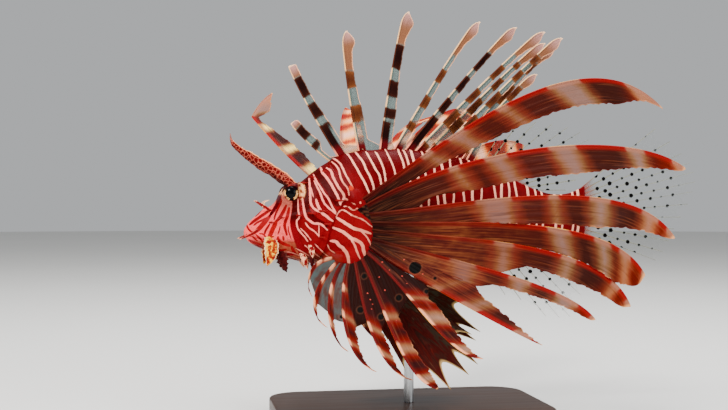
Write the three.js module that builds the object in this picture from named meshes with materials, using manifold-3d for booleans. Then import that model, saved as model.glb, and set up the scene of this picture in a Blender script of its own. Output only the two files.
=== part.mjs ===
// Red lionfish, an adult about 335 mm long, held as it swims on one rod over a flat base.
// Millimetres, Z up. The head points to -X and the fish's left side faces -Y.
// The origin is the middle of the base's underside, straight below the rod.
import * as THREE from 'three';
import { mergeVertices } from 'three/addons/utils/BufferGeometryUtils.js';
import Module from 'manifold-3d';

const wasm = await Module();
wasm.setup();

const LEFT = -1;
const RIGHT = 1;
const GAP = 0.3;                   // what pieces that meet keep between them

// The fish has a frame of its own: x runs from the snout tip to the tail, y to its right side, and z up from
// the body's axis. The rod stands below the deepest part of the belly.
const ROD_X = 118;
const ROD_RADIUS = 3.5;
const ROD_SINK = 4;
const AXIS_HEIGHT = 146;
const BASE = { length: 190, width: 120, thick: 12, corner: 24 };

// Body outline: distance from the snout, back, belly and half the width.
const BODY_STATIONS = [
  [3, -10.4, -17, 2.4],
  [5, -7.6, -20, 4.6],
  [9, -3.7, -22.8, 7.2],
  [15, 1.7, -25.6, 9.4],
  [21, 4.6, -28, 10.8],
  [25, 9, -29.6, 11.2],
  [29, 15, -31, 11.6],
  [34, 18, -32.5, 12.6],
  [41, 20.6, -34.2, 14.8],
  [50, 28, -35.8, 17.8],
  [60, 34.5, -37, 20.6],
  [75, 41, -39.5, 22.5],
  [95, 43.5, -42.5, 22],
  [120, 43, -42.5, 19],
  [150, 38.5, -37.5, 14],
  [180, 30, -28, 9.2],
  [205, 18.5, -19.5, 6.2],
  [222, 13, -15.3, 4.8],
  [236, 13.5, -14.3, 4],
  [248, 18.5, -16, 2.4],
];
const BODY_SIDES = 28;
const HEAD_STEP = 3.6;
const HEAD_END = 70;
const TRUNK_STEP = 11;
const WIDEST_SHARE = 0.44;         // height of the widest level between belly and back
const BACK_FULLNESS = 1.12;        // over 1 is slimmer than an ellipse, under 1 is fuller
const BELLY_FULLNESS = 0.92;
const EYE = { x: 33.5, y: 9.8, z: 12.8, radius: 6.4 };
const ORBIT = { swell: 4.6, length: 7.5, height: 7, rim: 1, rimOut: 2.9, rimSides: 14 };
const BROW = { rise: 3.6, across: 8.5, width: 3.6, length: 6 };
const CHEEK = { x: 46, z: -9, swell: 1.6, size: 10 };
const MOUTH = { frontZ: -15.2, cornerX: 26, cornerZ: -21, slit: 0.7, lip: 0.9, lipSize: 2 };
const JAW_HINGE = { x: 37, z: -36 };
const NOSTRIL = { x: 20.5, z: -1.5, radius: 1.3 };
const GILL_EDGE = [
  [57, 60],
  [60, 38],
  [66, 24],
  [71, 11],
  [64, 1],
  [60, -8],
  [57, -14],
  [53, -27],
  [50, -40],
  [49, -60],
];
const TAIL_CUT_X = 205;

// Dorsal spines: where each stands along the back, its length and how far it leans back from upright.
const SPINE_BASES = [62.7, 68.5, 83, 98, 108, 116, 123.5, 131, 139, 146.5, 152.5, 157, 160.5];
const SPINE_LENGTHS = [38, 72, 84, 101, 109, 123, 126, 121, 123, 117, 84, 46, 40];
const SPINE_LEANS = [-48, -29, -9, 10.5, 32, 41.5, 45.8, 46.8, 45.7, 43.9, 42, 38, 33];
const SPINE = {
  splay: 3.5,
  sink: 4,
  bow: 2,
  root: 2.2,
  tip: 1,
  strap: 5.4,
  strapLow: 7.6,
  leaf: 8.3,
  leafAt: 0.88,
  leafSpan: 0.07,
  web: 0.2,
  stops: 7,
};

// Fins in the middle plane: where they stand and each ray's length and angle above straight back.
const SOFT_DORSAL = {
  from: 169,
  to: 205,
  sink: 3,
  wave: 2,
  scallop: 0.08,
  lengths: [40, 44, 49, 55, 61, 65, 66, 62, 53, 41, 29],
  angles: [56, 50, 43, 37, 32, 28, 24, 19, 12, 4, -6],
};
const ANAL = {
  from: 163,
  to: 209,
  sink: -3,
  wave: -2,
  scallop: 0.12,
  lengths: [20, 34, 42, 62, 68, 71, 67, 60, 57, 52],
  angles: [-58, -54, -51, -49, -47, -46, -43, -40, -36, -31],
};
const CAUDAL = {
  lengths: [70, 77, 83, 87, 88, 87, 84, 80, 75, 71, 68, 64, 59],
  angles: [38.7, 29, 22, 18, 15, 12, 9.2, 5, 0, -5, -10.5, -16, -21],
};

// Pelvic fins: each has one spine and five rays, and the right one is held a little higher.
const PELVIC = { x: 70, length: 12, y: 8, sink: 6, spread: [20, 28, 27, 23, 18, 7] };
const LEFT_PELVIC = { lengths: [64, 98, 105, 106, 106, 92], angles: [-59, -56, -51.5, -43.5, -39, -31] };
const RIGHT_PELVIC = { lengths: [67, 96, 104, 113, 109, 84], angles: [-55, -48, -39, -30, -27, -18] };

// Pectoral fins: each ray's reach from the fin's centre, its rise in side view and its spread out from the
// body in degrees, and how far its two handles bow it. The left fin is swept back, the right one flared out.
const PECTORAL_RAYS = 14;
const UPPER_RAYS = 7;
const FRONT_RAYS = 2;
const TRAILING_RAYS = 6;           // the webs of the first rays hang below them, those of the rest lie above
const FIN_CENTRE = { x: 80, y: 22, z: -14 };
const LEFT_FIN = {
  reach: [215, 217, 206, 190, 185, 167, 145, 122, 120, 107, 96, 82, 69, 55],
  rise: [23.6, 12.1, -0.6, -8.7, -16, -21.5, -34, -49.4, -67.9, -74.6, -87.4, -99.4, -112.4, -129.5],
  spread: [18.9, 22.1, 26.1, 28.2, 27.7, 28.4, 30.7, 31.6, 27.5, 24.3, 20.8, 17.1, 13.4, 8.4],
  bow: [22, 32, 10, 8, 10, 3, -4, 4, -1, -9, -15, -16, -11, -15],
  droop: [68, 33, 44, 38, 38, 17, -2, -16, -18, -20, -20, -16, -20, -10],
};
const RIGHT_FIN = {
  reach: [170, 156, 176, 197, 212, 192, 166, 148, 132, 118, 104, 88, 72, 58],
  rise: [126, 81, 46, 39, 22.5, 4, -14, -29, -43, -56, -69, -82, -94, -106],
  spread: [40, 50, 45, 37.5, 32, 34, 35, 34, 33, 31, 28, 25, 22, 20],
  bow: [11, 6, 11, 14, 12, 7, 4, 0, -3, -8, -10, -9, -8, -7],
  droop: [0, 8, 22, 28, 29, 21, 8, -6, -10, -12, -12, -12, -12, -8],
  kink: { rays: 1, from: 0.73, shift: [31, 4, 4] },
};

// Each ray's strap: its width, where its web ends, and where and how fully it closes to its tip.
const STRAP_WIDTHS = [18, 19.5, 20.5, 21, 15.5, 11, 16, 11.5, 9, 9, 8.5, 6, 4.8, 3.4];
const WEB_ENDS = [0.1, 0.15, 0.28, 0.5, 0.5, 0.47, 0.46, 0.34, 0.36, 0.4, 0.42, 0.46, 0.5, 0.5];
const OPEN_ENDS = [0.55, 0.38, 0.48, 0.7, 0.7, 0.67, 0.66, 0.54, 0.56, 0.6, 0.62, 0.66, 0.7, 0.7];
const CLOSE_FROM = [0.8, 0.6, 0.72, 0.86, 0.76, 0.5, 0.42, 0.5, 0.8, 0.6, 0.5, 0.5, 0.55, 0.5];
const CLOSE_POWER = [0.95, 0.6, 0.65, 0.4, 0.4, 0.42, 1.2, 0.7, 0.6, 0.65, 0.65, 0.6, 0.6, 0.6];
// The right fin's first ray ends in a leaf behind a narrow neck: width at places along the ray.
const RIGHT_LEAF = [[0, 3], [0.3, 8.5], [0.5, 10.4], [0.66, 6.5], [0.78, 11], [0.88, 8], [1, 0.4]];
const RAY = { root: 1.9, tip: 0.8, web: 0.55, edge: 0.5, upperStops: 10, lowerStops: 8 };
const LOBE = {
  centre: [[73, 18, 15], [76, 20.5, 10.5], [80.5, 22.5, 0], [83, 24, -15], [79, 23.5, -27.5], [69.5, 20, -32.5],
    [60.5, 15, -30.5]],
  firstRay: 0.24,
  lastRay: 0.96,
  width: 8,
  thick: 3.6,
  stops: 9,
  sides: 10,
};

const { clamp, degToRad, lerp, mapLinear, smoothstep } = THREE.MathUtils;
const bump = (distance, size) => Math.exp(-0.5 * (distance / size) ** 2);
const evenly = (count, make) => Array.from({ length: count }, (_, i) => make(i / (count - 1), i));

// Smooth values of one column between a table's rows.
function smooth(table, column, x) {
  const last = table.length - 1;
  let k = 0;
  while (k < last - 1 && x > table[k + 1][0]) k += 1;
  const slope = (i) => {
    const a = table[Math.max(i - 1, 0)];
    const b = table[Math.min(i + 1, last)];
    return (b[column] - a[column]) / (b[0] - a[0]);
  };
  const span = table[k + 1][0] - table[k][0];
  const t = clamp((x - table[k][0]) / span, 0, 1);
  const h = t * t * (3 - 2 * t);
  const bend = slope(k) * (1 - t) - slope(k + 1) * t;
  return lerp(table[k][column], table[k + 1][column], h) + bend * span * t * (1 - t);
}

const mouthZ = (x) => mapLinear(x, 0, MOUTH.cornerX, MOUTH.frontZ, MOUTH.cornerZ);

// A point of the skin: x along the fish, angle round the section from the right side over the back.
function bodyPoint(x, angle, grow = 0) {
  const top = smooth(BODY_STATIONS, 1, x);
  const belly = smooth(BODY_STATIONS, 2, x);
  const half = smooth(BODY_STATIONS, 3, x);
  const widest = lerp(belly, top, WIDEST_SHARE);
  const c = Math.cos(angle);
  const s = Math.sin(angle);
  const across = Math.abs(c) ** (s > 0 ? BACK_FULLNESS : BELLY_FULLNESS);
  const z = widest + s * ((s > 0 ? top - widest : widest - belly) + grow);
  const flank = Math.min(1, 3 * Math.abs(c));
  const orbit = ORBIT.swell * bump(x - EYE.x, ORBIT.length) * bump(z - EYE.z, ORBIT.height);
  const lip = x < MOUTH.cornerX ? MOUTH.lip * bump(z - mouthZ(x), MOUTH.lipSize) : 0;
  const cheek = CHEEK.swell * bump(x - CHEEK.x, CHEEK.size) * bump(z - CHEEK.z, CHEEK.size);
  const y = (half + grow) * across + flank * (orbit + lip + cheek);
  const brow = BROW.rise * bump(x - EYE.x, BROW.length) * bump(y - BROW.across, BROW.width) * Math.max(s, 0);
  return new THREE.Vector3(x, Math.sign(c) * y, z + brow);
}

const skinTop = (x) => bodyPoint(x, Math.PI / 2).z;
const skinBelly = (x) => bodyPoint(x, -Math.PI / 2).z;

// The skin's half width at a height, found by halving the quarter turn that holds it.
function sideWidth(x, z) {
  let low = -Math.PI / 2;
  let high = Math.PI / 2;
  for (let step = 0; step < 24; step += 1) {
    const middle = (low + high) / 2;
    if (bodyPoint(x, middle).z < z) low = middle;
    else high = middle;
  }
  return bodyPoint(x, low).y;
}

function geometryOf(vertices, triangles) {
  const geometry = new THREE.BufferGeometry();
  const numbers = vertices.flatMap((v) => [v.x, v.y, v.z]);
  geometry.setAttribute('position', new THREE.Float32BufferAttribute(numbers, 3));
  geometry.setIndex(triangles.flat());
  return geometry;
}

function solidOf(geometry) {
  const bare = geometry.clone();
  bare.deleteAttribute('normal');
  bare.deleteAttribute('uv');
  const merged = mergeVertices(bare, 1e-4);
  return new wasm.Manifold(new wasm.Mesh({
    numProp: 3,
    vertProperties: new Float32Array(merged.attributes.position.array),
    triVerts: new Uint32Array(merged.index.array),
  }));
}

// A closed solid whose faces point out, whichever way round its triangles were listed.
function outwardSolid(vertices, triangles) {
  const solid = solidOf(geometryOf(vertices, triangles));
  if (solid.volume() > 0) return solid;
  return solidOf(geometryOf(vertices, triangles.map(([a, b, c]) => [a, c, b])));
}

// Rings of equal count joined into one solid, each end closed on its middle point.
function loft(rings) {
  const count = rings[0].length;
  const vertices = rings.flat();
  const triangles = [];
  for (let i = 0; i < rings.length - 1; i += 1) {
    for (let j = 0; j < count; j += 1) {
      const a = i * count + j;
      const b = i * count + (j + 1) % count;
      triangles.push([a, b, a + count], [b, b + count, a + count]);
    }
  }
  const close = (ring, first, turn) => {
    const middle = ring.reduce((sum, p) => sum.add(p), new THREE.Vector3()).divideScalar(count);
    const centre = vertices.push(middle) - 1;
    for (let j = 0; j < count; j += 1) {
      const edge = [first + j, first + (j + 1) % count];
      triangles.push(turn ? [edge[1], edge[0], centre] : [edge[0], edge[1], centre]);
    }
  };
  close(rings[0], 0, true);
  close(rings.at(-1), (rings.length - 1) * count, false);
  return outwardSolid(vertices, triangles);
}

// A thin sheet through a grid of points, each with its thickness, cut into triangles alike on both faces.
function sheet(grid) {
  const rows = grid.length;
  const columns = grid[0].length;
  const total = rows * columns;
  const front = [];
  const rear = [];
  for (let i = 0; i < rows; i += 1) {
    for (let j = 0; j < columns; j += 1) {
      const { at, thick } = grid[i][j];
      const along = grid[Math.min(i + 1, rows - 1)][j].at.clone().sub(grid[Math.max(i - 1, 0)][j].at);
      const across = grid[i][Math.min(j + 1, columns - 1)].at.clone().sub(grid[i][Math.max(j - 1, 0)].at);
      const half = along.cross(across).normalize().multiplyScalar(thick / 2);
      front.push(at.clone().add(half));
      rear.push(at.clone().sub(half));
    }
  }
  const triangles = [];
  for (let i = 0; i < rows - 1; i += 1) {
    for (let j = 0; j < columns - 1; j += 1) {
      const a = i * columns + j;
      const pair = [[a, a + columns, a + 1], [a + 1, a + columns, a + columns + 1]];
      triangles.push(...pair, ...pair.map(([p, q, r]) => [total + p, total + r, total + q]));
    }
  }
  const rim = [];
  for (let j = 0; j < columns; j += 1) rim.push(j);
  for (let i = 1; i < rows; i += 1) rim.push(i * columns + columns - 1);
  for (let j = columns - 2; j >= 0; j -= 1) rim.push((rows - 1) * columns + j);
  for (let i = rows - 2; i > 0; i -= 1) rim.push(i * columns);
  rim.forEach((a, k) => {
    const b = rim[(k + 1) % rim.length];
    triangles.push([a, b, total + a], [b, total + b, total + a]);
  });
  return outwardSolid([...front, ...rear], triangles);
}

const unite = (solids) => solids.reduce((sum, solid) => sum.add(solid));
const largest = (solid) => solid.decompose().reduce((a, b) => (b.volume() > a.volume() ? b : a));

// A prism across the fish from an outline in side view.
function prism(outline) {
  const width = 120;
  const shape = new THREE.Shape(outline.map(([x, z]) => new THREE.Vector2(x, z)));
  const geometry = new THREE.ExtrudeGeometry(shape, { depth: width, bevelEnabled: false });
  geometry.rotateX(Math.PI / 2);
  geometry.translate(0, width / 2, 0);
  return solidOf(geometry);
}

function ball(x, y, z, radius, sides) {
  const geometry = new THREE.SphereGeometry(radius, sides, Math.ceil(sides * 0.6));
  geometry.translate(x, y, z);
  return solidOf(geometry);
}

// A pointed spine of four sides from a sunk root to a tip.
function thorn(root, tip, radius) {
  const axis = tip.clone().sub(root);
  const geometry = new THREE.ConeGeometry(radius, axis.length(), 4);
  geometry.translate(0, axis.length() / 2, 0);
  const upright = new THREE.Vector3(0, 1, 0);
  geometry.applyQuaternion(new THREE.Quaternion().setFromUnitVectors(upright, axis.normalize()));
  geometry.translate(root.x, root.y, root.z);
  return solidOf(geometry);
}

function bodySolid(grow = 0) {
  const last = BODY_STATIONS.at(-1)[0];
  const stops = [];
  for (let x = BODY_STATIONS[0][0]; x < HEAD_END; x += HEAD_STEP) stops.push(x);
  for (let x = HEAD_END + 2; x < last - TRUNK_STEP / 2; x += TRUNK_STEP) stops.push(x);
  stops.push(last);
  const rings = stops.map((x, i) => {
    const ends = (i === 0 ? -grow : 0) + (i === stops.length - 1 ? grow : 0);
    return Array.from({ length: BODY_SIDES }, (_, j) => {
      const point = bodyPoint(x, (2 * Math.PI * j) / BODY_SIDES, grow);
      point.x += ends;
      return point;
    });
  });
  return loft(rings);
}

// The fleshy root of a pectoral fin: a curved lobe on the flank that carries the rays on its rear edge.
const lobeCurve = (side) => new THREE.CatmullRomCurve3(
  LOBE.centre.map(([x, y, z]) => new THREE.Vector3(x, side * y, z)),
);

function lobeSolid(side, grow = 0) {
  const curve = lobeCurve(side);
  const out = new THREE.Vector3(0, side, 0);
  return loft(evenly(LOBE.stops, (share) => {
    const centre = curve.getPoint(share);
    const along = curve.getTangent(share);
    const rear = along.clone().cross(out).normalize();
    const flat = rear.clone().cross(along).normalize();
    const size = lerp(0.35, 1, Math.sin(Math.PI * lerp(0.12, 0.88, share)));
    return Array.from({ length: LOBE.sides }, (_, j) => {
      const angle = (2 * Math.PI * j) / LOBE.sides;
      return centre.clone()
        .addScaledVector(rear, Math.cos(angle) * (LOBE.width * size + grow))
        .addScaledVector(flat, Math.sin(angle) * (LOBE.thick * size + grow));
    });
  }));
}

// A ray's curve from its root to its tip, bowed off the straight line by two handles in side view.
function rayCurve(root, tip, bow, droop) {
  const chord = tip.clone().sub(root);
  const normal = new THREE.Vector3(-chord.z, 0, chord.x).normalize();
  return new THREE.CubicBezierCurve3(
    root,
    root.clone().addScaledVector(chord, 0.34).addScaledVector(normal, bow),
    root.clone().addScaledVector(chord, 0.85).addScaledVector(normal, droop),
    tip,
  );
}

// One ray as a ridge on its own strap of membrane: front edge, crest, foot of the ridge and outer edge.
function raySheet(pointAt, widthAt, sideways, stops, ridge) {
  return sheet(evenly(stops, (share) => {
    const at = pointAt(share);
    const across = sideways(share, at);
    const width = Math.max(widthAt(share), ridge.tip / 2);
    const half = Math.min(lerp(ridge.root, ridge.tip, share), width) / 2;
    const foot = Math.min(half * 3, width * 0.6);
    return [
      { at: at.clone().addScaledVector(across, -half), thick: half * 1.2 },
      { at: at.clone(), thick: half * 2 },
      { at: at.clone().addScaledVector(across, foot), thick: RAY.web },
      { at: at.clone().addScaledVector(across, width), thick: RAY.edge },
    ];
  }));
}

function pectoralRays(side) {
  const fin = side === LEFT ? LEFT_FIN : RIGHT_FIN;
  const roots = lobeCurve(side);
  return evenly(PECTORAL_RAYS, (share, i) => {
    const rise = degToRad(fin.rise[i]);
    const spread = degToRad(fin.spread[i]);
    const tip = new THREE.Vector3(
      FIN_CENTRE.x + fin.reach[i] * Math.cos(rise) * Math.cos(spread),
      side * (FIN_CENTRE.y + fin.reach[i] * Math.sin(spread)),
      FIN_CENTRE.z + fin.reach[i] * Math.sin(rise) * Math.cos(spread),
    );
    const root = roots.getPoint(lerp(LOBE.firstRay, LOBE.lastRay, share));
    const curve = rayCurve(root, tip, fin.bow[i], fin.droop[i]);
    const kinked = fin.kink && i < fin.kink.rays;
    return (along) => {
      const point = curve.getPoint(along);
      if (!kinked) return point;
      const turned = Math.max(0, (along - fin.kink.from) / (1 - fin.kink.from));
      return point.addScaledVector(new THREE.Vector3(...fin.kink.shift), turned);
    };
  });
}

// Free width of a ray's strap: it opens from the root, stays broad and closes on the tip.
function strapWidth(side, i, share) {
  if (side === RIGHT && i === 0) return smooth(RIGHT_LEAF, 1, share);
  const open = smoothstep(share, 0, OPEN_ENDS[i]);
  const left = 1 - clamp((share - CLOSE_FROM[i]) / (1 - CLOSE_FROM[i]), 0, 1);
  return STRAP_WIDTHS[i] * lerp(0.4, 1, open) * left ** CLOSE_POWER[i];
}

// The straps of some of a fin's rays, webbed to their neighbours near the root.
function pectoralStraps(side, from, to) {
  const rays = pectoralRays(side);
  const straps = [];
  for (let i = from; i < to; i += 1) {
    const towards = i < TRAILING_RAYS ? i + 1 : i - 1;
    const shared = (i < TRAILING_RAYS) !== (towards < TRAILING_RAYS);
    const ownShare = shared ? 0.53 : 1;
    const clearance = towards < from || towards >= to ? RAY.root : 0;
    const sideways = (share, at) => rays[towards](share).sub(at).normalize();
    const widthAt = (share) => {
      const gap = rays[towards](share).distanceTo(rays[i](share)) * ownShare - clearance;
      const free = smoothstep(share, WEB_ENDS[i], WEB_ENDS[i] + 0.12);
      return Math.min(gap, lerp(gap, strapWidth(side, i, share), free));
    };
    straps.push(raySheet(rays[i], widthAt, sideways, i < UPPER_RAYS ? RAY.upperStops : RAY.lowerStops, RAY));
  }
  return unite(straps);
}

// A fin webbed to its edge, from a line of ray roots to a line of tips, scalloped between the rays.
function webbedFin(roots, tips, { rows = 6, ridge = 1.2, scallop = 0.08, wave = 0 } = {}) {
  const columns = 2 * roots.length - 1;
  return sheet(evenly(rows, (share) => evenly(columns, (across, j) => {
    const onRay = j % 2 === 0;
    const a = Math.floor(j / 2);
    const b = Math.ceil(j / 2);
    const root = roots[a].clone().lerp(roots[b], 0.5);
    const tip = tips[a].clone().lerp(tips[b], 0.5);
    const at = root.lerp(tip, onRay ? share : share * (1 - scallop));
    at.y += wave * share * Math.sin(across * Math.PI * 3);
    return { at, thick: onRay ? lerp(ridge, RAY.tip, share) : RAY.edge };
  })));
}

const fan = (root, length, degrees) => new THREE.Vector3(
  root.x + length * Math.cos(degToRad(degrees)),
  root.y,
  root.z + length * Math.sin(degToRad(degrees)),
);

// A fin of the middle plane that stands on the back or hangs from the belly.
function edgeFin({ from, to, sink, lengths, angles, wave, scallop }, skin) {
  const place = (t, down) => new THREE.Vector3(lerp(from, to, t), 0, skin(lerp(from, to, t)) - down);
  const roots = evenly(lengths.length, (t) => place(t, sink));
  const tips = evenly(lengths.length, (t, i) => fan(place(t, 0), lengths[i], angles[i]));
  return webbedFin(roots, tips, { wave, scallop });
}

function caudalFin() {
  const { lengths, angles } = CAUDAL;
  const [x, top, bottom] = BODY_STATIONS.at(-1);
  const place = (t, sink) => new THREE.Vector3(x - sink, 0, lerp(top - 1.5, bottom + 1.5, t));
  const roots = evenly(lengths.length, (t) => place(t, 3));
  const tips = evenly(lengths.length, (t, i) => fan(place(t, 0), lengths[i], angles[i]));
  return webbedFin(roots, tips, { rows: 8, ridge: 1.3, wave: 3 });
}

function pelvicFin(side) {
  const { lengths, angles } = side === LEFT ? LEFT_PELVIC : RIGHT_PELVIC;
  const { x, length, y, sink, spread } = PELVIC;
  const place = (t, up) => new THREE.Vector3(x + length * t, side * y * (1 - t / 2), skinBelly(x) + up);
  const roots = evenly(lengths.length, (t) => place(t, sink));
  const tips = evenly(lengths.length, (t, i) => {
    const tip = fan(place(t, 0), lengths[i], angles[i]);
    tip.y += side * spread[i];
    return tip;
  });
  return webbedFin(roots, tips, { rows: 8, ridge: 1.5, scallop: 0.16 });
}

function dorsalSpines() {
  return unite(SPINE_BASES.map((x, i) => {
    const lean = degToRad(SPINE_LEANS[i]);
    const splay = degToRad(i % 2 ? SPINE.splay : -SPINE.splay);
    const way = new THREE.Vector3(Math.sin(lean), Math.sin(splay), Math.cos(lean)).normalize();
    const base = new THREE.Vector3(x, 0, skinTop(x));
    const tip = base.clone().addScaledVector(way, SPINE_LENGTHS[i]);
    const curve = rayCurve(base.clone().addScaledVector(way, -SPINE.sink), tip, SPINE.bow, SPINE.bow);
    const across = new THREE.Vector3(Math.cos(lean), 0, -Math.sin(lean));
    const toNext = (SPINE_BASES[i + 1] ?? x + SPINE.strap) - x;
    const widthAt = (share) => {
      const web = toNext * 1.2 * (1 - smoothstep(share, 0.02, SPINE.web));
      const own = lerp(SPINE.strapLow, SPINE.strap, smoothstep(share, 0.2, 0.6));
      const leaf = (SPINE.leaf - SPINE.strap) * bump(share - SPINE.leafAt, SPINE.leafSpan);
      const close = 1 - smoothstep(share, 0.9, 1);
      return Math.max(web, (own + leaf) * close);
    };
    return raySheet((share) => curve.getPoint(share), widthAt, () => across, SPINE.stops, SPINE);
  }));
}

// A flat fleshy flap or tentacle along a curve, thickest down its middle.
function frond(points, widthAt, thick, stops) {
  const curve = new THREE.CatmullRomCurve3(points.map((p) => new THREE.Vector3(...p)));
  return sheet(evenly(stops, (share) => {
    const at = curve.getPoint(share);
    const along = curve.getTangent(share);
    const across = new THREE.Vector3(-along.z, 0, along.x).normalize();
    const half = Math.max(widthAt(share), 0.4) / 2;
    const depth = thick * lerp(1, 0.45, share);
    return [
      { at: at.clone().addScaledVector(across, -half), thick: depth / 2 },
      { at: at.clone(), thick: depth },
      { at: at.clone().addScaledVector(across, half), thick: depth / 2 },
    ];
  }));
}

// The brow tentacle leans forward over the eye and curls up at its tip. The right one is held further back.
function browTentacle(side, grow = 0) {
  const back = side === RIGHT ? 2 : 0;
  const points = [
    [36.5, 8, 16.5],
    [31, 9.8, 21.3],
    [22.5, 11.8, 27.4],
    [13.5, 13, 32.6],
    [5.3, 14, 38],
    [-1.5, 14.8, 42.6],
    [-6.9, 15.2, 47.8],
    [-8.2, 15.4, 53],
  ].map(([x, y, z]) => [x + back, side * y, z]);
  const widthAt = (share) => lerp(8.4, 1, share ** 0.8) + 2 * grow;
  return frond(points, widthAt, 2.4 + 4 * grow, 12);
}

// Ridge spines of the cheek, gill cover, brow and nape: place, how far back and out each points, and radius.
const HEAD_SPINES = [
  [19, -7, 3, 2, 1.2],
  [26, -3, 3, 2.2, 1.2],
  [37, -2, 3, 2.5, 1.3],
  [45, 0, 4, 2.5, 1.4],
  [52, 1, 5, 3, 1.5],
  [55, -8, 5, 2.5, 1.5],
  [52, -17, 4, 2.5, 1.4],
  [47, -25, 3, 2.5, 1.3],
  [41, 20, 4, 1.8, 1.3],
  [48, 24, 4.5, 1.8, 1.4],
  [56, 28, 4.5, 1.8, 1.4],
  [63, 8, 6, 2, 1.5],
];

// Skin flaps that hang from the lip, jaw and cheek: place, how far each reaches along and down, and width.
const SKIN_FLAPS = [
  [18.4, -18.2, -2, -18.6, 9.8],
  [26, -27, 4.5, -14, 5.8],
  [41, -28.5, 4, -10.5, 4.2],
  [47, -29, 1, -10.5, 3.4],
  [46.5, -23, 1.2, -8, 4],
];

function headTrim(side) {
  const spines = HEAD_SPINES.map(([x, z, back, out, radius]) => {
    const y = sideWidth(x, z);
    const root = new THREE.Vector3(x, side * (y - 2), z);
    const tip = new THREE.Vector3(x + back, side * (y + out), z);
    return thorn(root, tip, radius);
  });
  const flaps = SKIN_FLAPS.map(([x, z, along, down, width]) => {
    const y = side * (sideWidth(x, z) - 1.2);
    const out = y + side * 2;
    const points = [[x, y, z + 1.5], [x + along / 2, out, z + down / 2], [x + along, out, z + down]];
    return frond(points, (share) => width * Math.sin(Math.PI * lerp(0.28, 0.96, share)), 1.6, 4);
  });
  const lipCirrus = frond(
    [[13, side * 8.5, -11.5], [5, side * 10, -15.5], [-2.6, side * 11, -19.5]],
    (share) => lerp(2.9, 0.7, share),
    1.7,
    4,
  );
  const noseCirrus = frond(
    [[20.5, side * 6.5, 0.5], [15, side * 7.5, 4], [9.2, side * 8, 7.2]],
    (share) => lerp(2.5, 0.6, share),
    1.4,
    4,
  );
  const rim = new THREE.TorusGeometry(EYE.radius + ORBIT.rim / 2, ORBIT.rim, 5, ORBIT.rimSides);
  rim.rotateX(Math.PI / 2);
  rim.translate(EYE.x, side * (EYE.y + ORBIT.rimOut), EYE.z);
  return unite([...spines, ...flaps, lipCirrus, noseCirrus, solidOf(rim)]);
}

// Outline behind the gill cover's rear edge.
function behindGill(shift) {
  const curve = new THREE.SplineCurve(GILL_EDGE.map(([x, z]) => new THREE.Vector2(x + shift, z)));
  const edge = curve.getPoints(16).map((p) => [p.x, p.y]);
  return [[400, 80], ...edge, [400, -80]];
}

// Outline below the line of the mouth and ahead of the jaw's hinge.
const belowMouth = (shift) => [
  [-20, mouthZ(-20) + shift],
  [MOUTH.cornerX, MOUTH.cornerZ + shift],
  [JAW_HINGE.x + shift, JAW_HINGE.z],
  [JAW_HINGE.x + 3 + shift, -60],
  [-20, -60],
];

const SKIN = { color: 0xa81612, roughness: 0.45, metalness: 0 };
const BANDED_FIN = { color: 0x8a3420, roughness: 0.5, metalness: 0 };
const DARK_FIN = { color: 0x3a1512, roughness: 0.5, metalness: 0 };
const CLEAR_FIN = { color: 0xc9b9a6, roughness: 0.4, metalness: 0 };
const EYEBALL = { color: 0x120c0a, roughness: 0.1, metalness: 0 };
const WOOD = { color: 0x2a1f1a, roughness: 0.5, metalness: 0 };
const STEEL = { color: 0xb8bac0, roughness: 0.3, metalness: 1 };

function meshOf(name, solid, look) {
  const { vertProperties, triVerts } = largest(solid).getMesh();
  const geometry = new THREE.BufferGeometry();
  geometry.setAttribute('position', new THREE.BufferAttribute(Float32Array.from(vertProperties), 3));
  geometry.setIndex(new THREE.BufferAttribute(Uint32Array.from(triVerts), 1));
  geometry.computeVertexNormals();
  const mesh = new THREE.Mesh(geometry, new THREE.MeshStandardMaterial(look));
  mesh.name = name;
  return mesh;
}

// Flesh, and the same grown by the gap as the room that whatever grows from it leaves free.
const body = bodySolid();
const bodyRoom = bodySolid(GAP);
const fleshRoom = unite([bodyRoom, lobeSolid(LEFT, GAP), lobeSolid(RIGHT, GAP)]);
const eyeRoom = unite([LEFT, RIGHT].map((side) => ball(EYE.x, side * EYE.y, EYE.z, EYE.radius + GAP, 14)));
const tentacleRoom = browTentacle(LEFT, GAP).add(browTentacle(RIGHT, GAP));

function headSolid() {
  const skull = body.subtract(prism(behindGill(0))).subtract(prism(belowMouth(0)));
  const trims = headTrim(LEFT).add(headTrim(RIGHT));
  const looseTrims = trims.subtract(tentacleRoom).subtract(prism(behindGill(-GAP)));
  const jawRoom = bodyRoom.intersect(prism(belowMouth(0)));
  const nostrils = [LEFT, RIGHT].map((side) => {
    const y = side * sideWidth(NOSTRIL.x, NOSTRIL.z);
    return ball(NOSTRIL.x, y, NOSTRIL.z, NOSTRIL.radius, 8);
  });
  return skull.add(looseTrims).subtract(jawRoom).subtract(unite(nostrils)).subtract(eyeRoom);
}

const jawSolid = () => body.subtract(prism(behindGill(0))).intersect(prism(belowMouth(-MOUTH.slit)));

function torsoSolid() {
  const ahead = prism([[-60, 90], [TAIL_CUT_X, 90], [TAIL_CUT_X, -90], [-60, -90]]);
  const trunk = unite([body, lobeSolid(LEFT), lobeSolid(RIGHT)]);
  return trunk.intersect(prism(behindGill(GAP))).intersect(ahead);
}

function tailSolid() {
  const cut = TAIL_CUT_X + GAP;
  return body.intersect(prism([[cut, 90], [400, 90], [400, -90], [cut, -90]]));
}

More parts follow.
